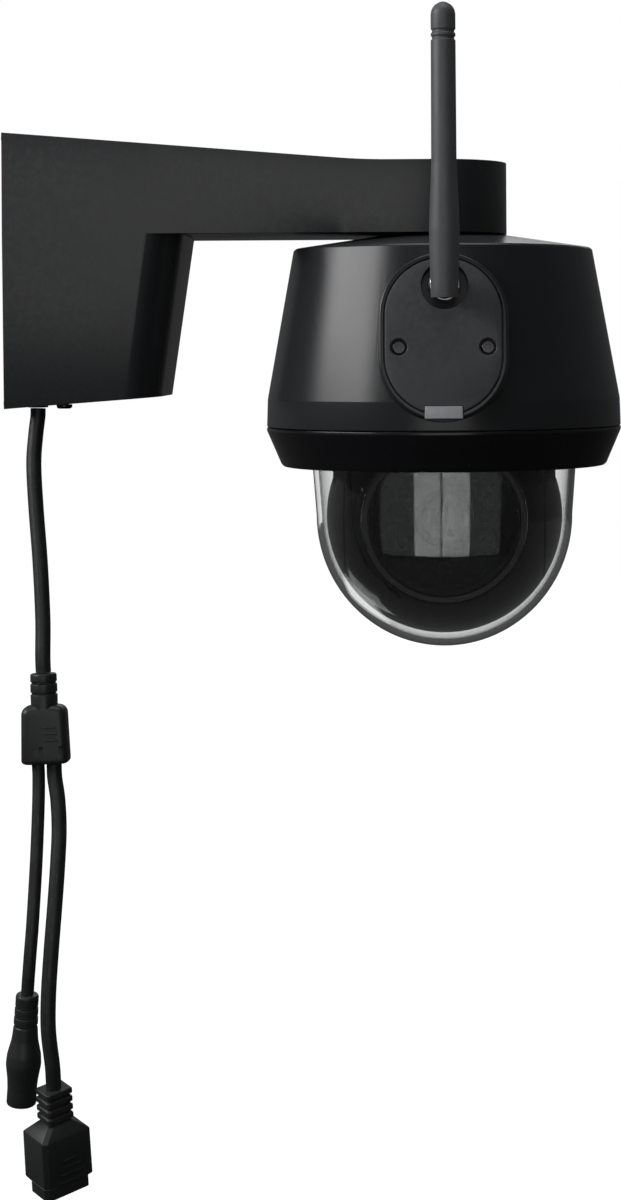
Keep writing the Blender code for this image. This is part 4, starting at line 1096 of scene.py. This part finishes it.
def seen_or_lit(tree, seen, lit):
    """One shader for what is seen directly or through glass, another for what lights or reflects."""
    paths = tree.nodes.new("ShaderNodeLightPath")
    bounces = tree.nodes.new("ShaderNodeMath")
    bounces.operation = "ADD"
    tree.links.new(paths.outputs["Glossy Depth"], bounces.inputs[0])
    tree.links.new(paths.outputs["Diffuse Depth"], bounces.inputs[1])
    mix = tree.nodes.new("ShaderNodeMixShader")
    tree.links.new(bounces.outputs[0], mix.inputs[0])
    tree.links.new(seen, mix.inputs[1])
    tree.links.new(lit, mix.inputs[2])
    return mix.outputs[0]


def dim_studio(tree):
    """Brightness of the unlit studio; inside the dome's wall it is white on the left and dark elsewhere."""

    def maths(operation, a, b=0.0):
        node = tree.nodes.new("ShaderNodeMath")
        node.operation = operation
        for socket, value in zip(node.inputs, (a, b)):
            if isinstance(value, bpy.types.NodeSocket):
                tree.links.new(value, socket)
            else:
                socket.default_value = value
        return node.outputs[0]

    def ramp(value, low, high, to_low, to_high):
        node = tree.nodes.new("ShaderNodeMapRange")
        node.interpolation_type = "SMOOTHSTEP"
        tree.links.new(value, node.inputs[0])
        for socket, number in zip(node.inputs[1:5], (low, high, to_low, to_high)):
            socket.default_value = number
        return node.outputs[0]

    way = tree.nodes.new("ShaderNodeSeparateXYZ")
    tree.links.new(tree.nodes.new("ShaderNodeTexCoord").outputs["Generated"], way.inputs[0])
    paths = tree.nodes.new("ShaderNodeLightPath")
    x, y, z = way.outputs
    room = maths("MULTIPLY", ramp(z, -0.5, 0.2, 0.02, 0.13), ramp(x, -0.6, 0.9, 1.0, 0.35))
    room = maths("MULTIPLY", room, ramp(y, -0.6, 0.5, 0.35, 1.0))
    walled = maths("COMPARE", paths.outputs["Transmission Depth"], 2.0)
    walled = maths("MULTIPLY", walled, maths("GREATER_THAN", y, 0.3))
    sideways = maths("SUBTRACT", maths("MULTIPLY", z, 1.5), maths("MULTIPLY", x, 1.2))
    rim = maths("MULTIPLY", walled, ramp(sideways, 0.10, 0.25, 0.0, 0.9))
    return maths("ADD", room, rim)


LIT_CENTRE = HEAD + Vector((0, 0, -0.05))
FLOOR_HEIGHT = -0.70
IN_DOME = (
    "clear_dome_fine", "ball_front_fine", "ball_rear_fine", "yoke_fine", "front_window_fine",
    "bezel_ring_fine", "lens_glass_fine", "lens_barrel_fine",
)


def build_lights():
    centre = LIT_CENTRE

    def around(azimuth, elevation, reach):
        """A point round the head; azimuth 0 is in front of the cover and 90 is on the wall's side."""
        a, e = math.radians(azimuth), math.radians(elevation)
        return centre + reach * Vector((-math.sin(a) * math.cos(e), -math.cos(a) * math.cos(e), math.sin(e)))

    housing = ("head_housing_fine",)
    area_light("left_softbox", around(70, 25, 1.3), centre, (0.95, 0.50), 6.4, IN_DOME)
    area_light("back_softbox", around(182, 26, 2.0), centre, (1.2, 0.60), 1.4)
    area_light("top_glint", around(187, 7, 2.0), centre, (0.34, 0.40), 0.55, housing, "INCLUDE")
    area_light("top_softbox", around(0, 82, 1.5), centre, (1.2, 1.2), 1.5)
    area_light("front_fill", around(0, 5, 2.4), centre, (1.4, 1.5), 0.85, IN_DOME)
    area_light("low_softbox", around(139, -38, 0.75), centre, (0.24, 0.26), 0.9, IN_DOME, "INCLUDE")
    for name, x, width, radiance in (
        ("card_left", -0.0205, 0.0304, 4.2),
        ("card_right", 0.0130, 0.0325, 4.4),
        ("card_wide", -0.006, 0.148, 0.5),
    ):
        at = Vector((HEAD.x + x, -1.2, -0.156))
        area_light(name, at, at + Y, (width, 0.113), radiance, IN_DOME, "INCLUDE")


def build_sky():
    """White to the camera, a dim studio to everything that it lights."""
    sky = bpy.data.worlds.new("studio")
    sky.use_nodes = True
    bpy.context.scene.world = sky
    tree = sky.node_tree
    tree.nodes.clear()
    bright = tree.nodes.new("ShaderNodeBackground")
    bright.inputs["Color"].default_value = (1, 1, 1, 1)
    dim = tree.nodes.new("ShaderNodeBackground")
    tree.links.new(dim_studio(tree), dim.inputs["Color"])
    out = tree.nodes.new("ShaderNodeOutputWorld")
    tree.links.new(seen_or_lit(tree, bright.outputs[0], dim.outputs[0]), out.inputs["Surface"])


def floor_paper():
    """Pale paper that glows for the camera and hardly lights the part."""
    paper = Nodes("floor_paper")
    tone = paper.mix(paper.noise(400, 3), (0.94, 0.94, 0.94), (0.97, 0.97, 0.97))
    glow = paper.add("ShaderNodeEmission", {"Color": tone, "Strength": 1.12})
    shade = paper.add("ShaderNodeEmission", {"Color": tone, "Strength": 0.10})
    output = paper.tree.nodes["Material Output"]
    paper.tree.links.new(seen_or_lit(paper.tree, glow.outputs[0], shade.outputs[0]), output.inputs["Surface"])
    return paper.material


def build_floor():
    paper = floor_paper()
    mesh = bpy.data.meshes.new("floor")
    shape = bmesh.new()
    bmesh.ops.create_grid(shape, x_segments=1, y_segments=1, size=6)
    shape.to_mesh(mesh)
    shape.free()
    mesh.materials.append(paper)
    floor = linked("floor", mesh)
    floor.location = (HEAD.x, 0, FLOOR_HEIGHT)
    floor.visible_glossy = False
    floor.visible_diffuse = False


build_lights()
build_sky()
build_floor()
bpy.context.scene.view_settings.view_transform = "Standard"
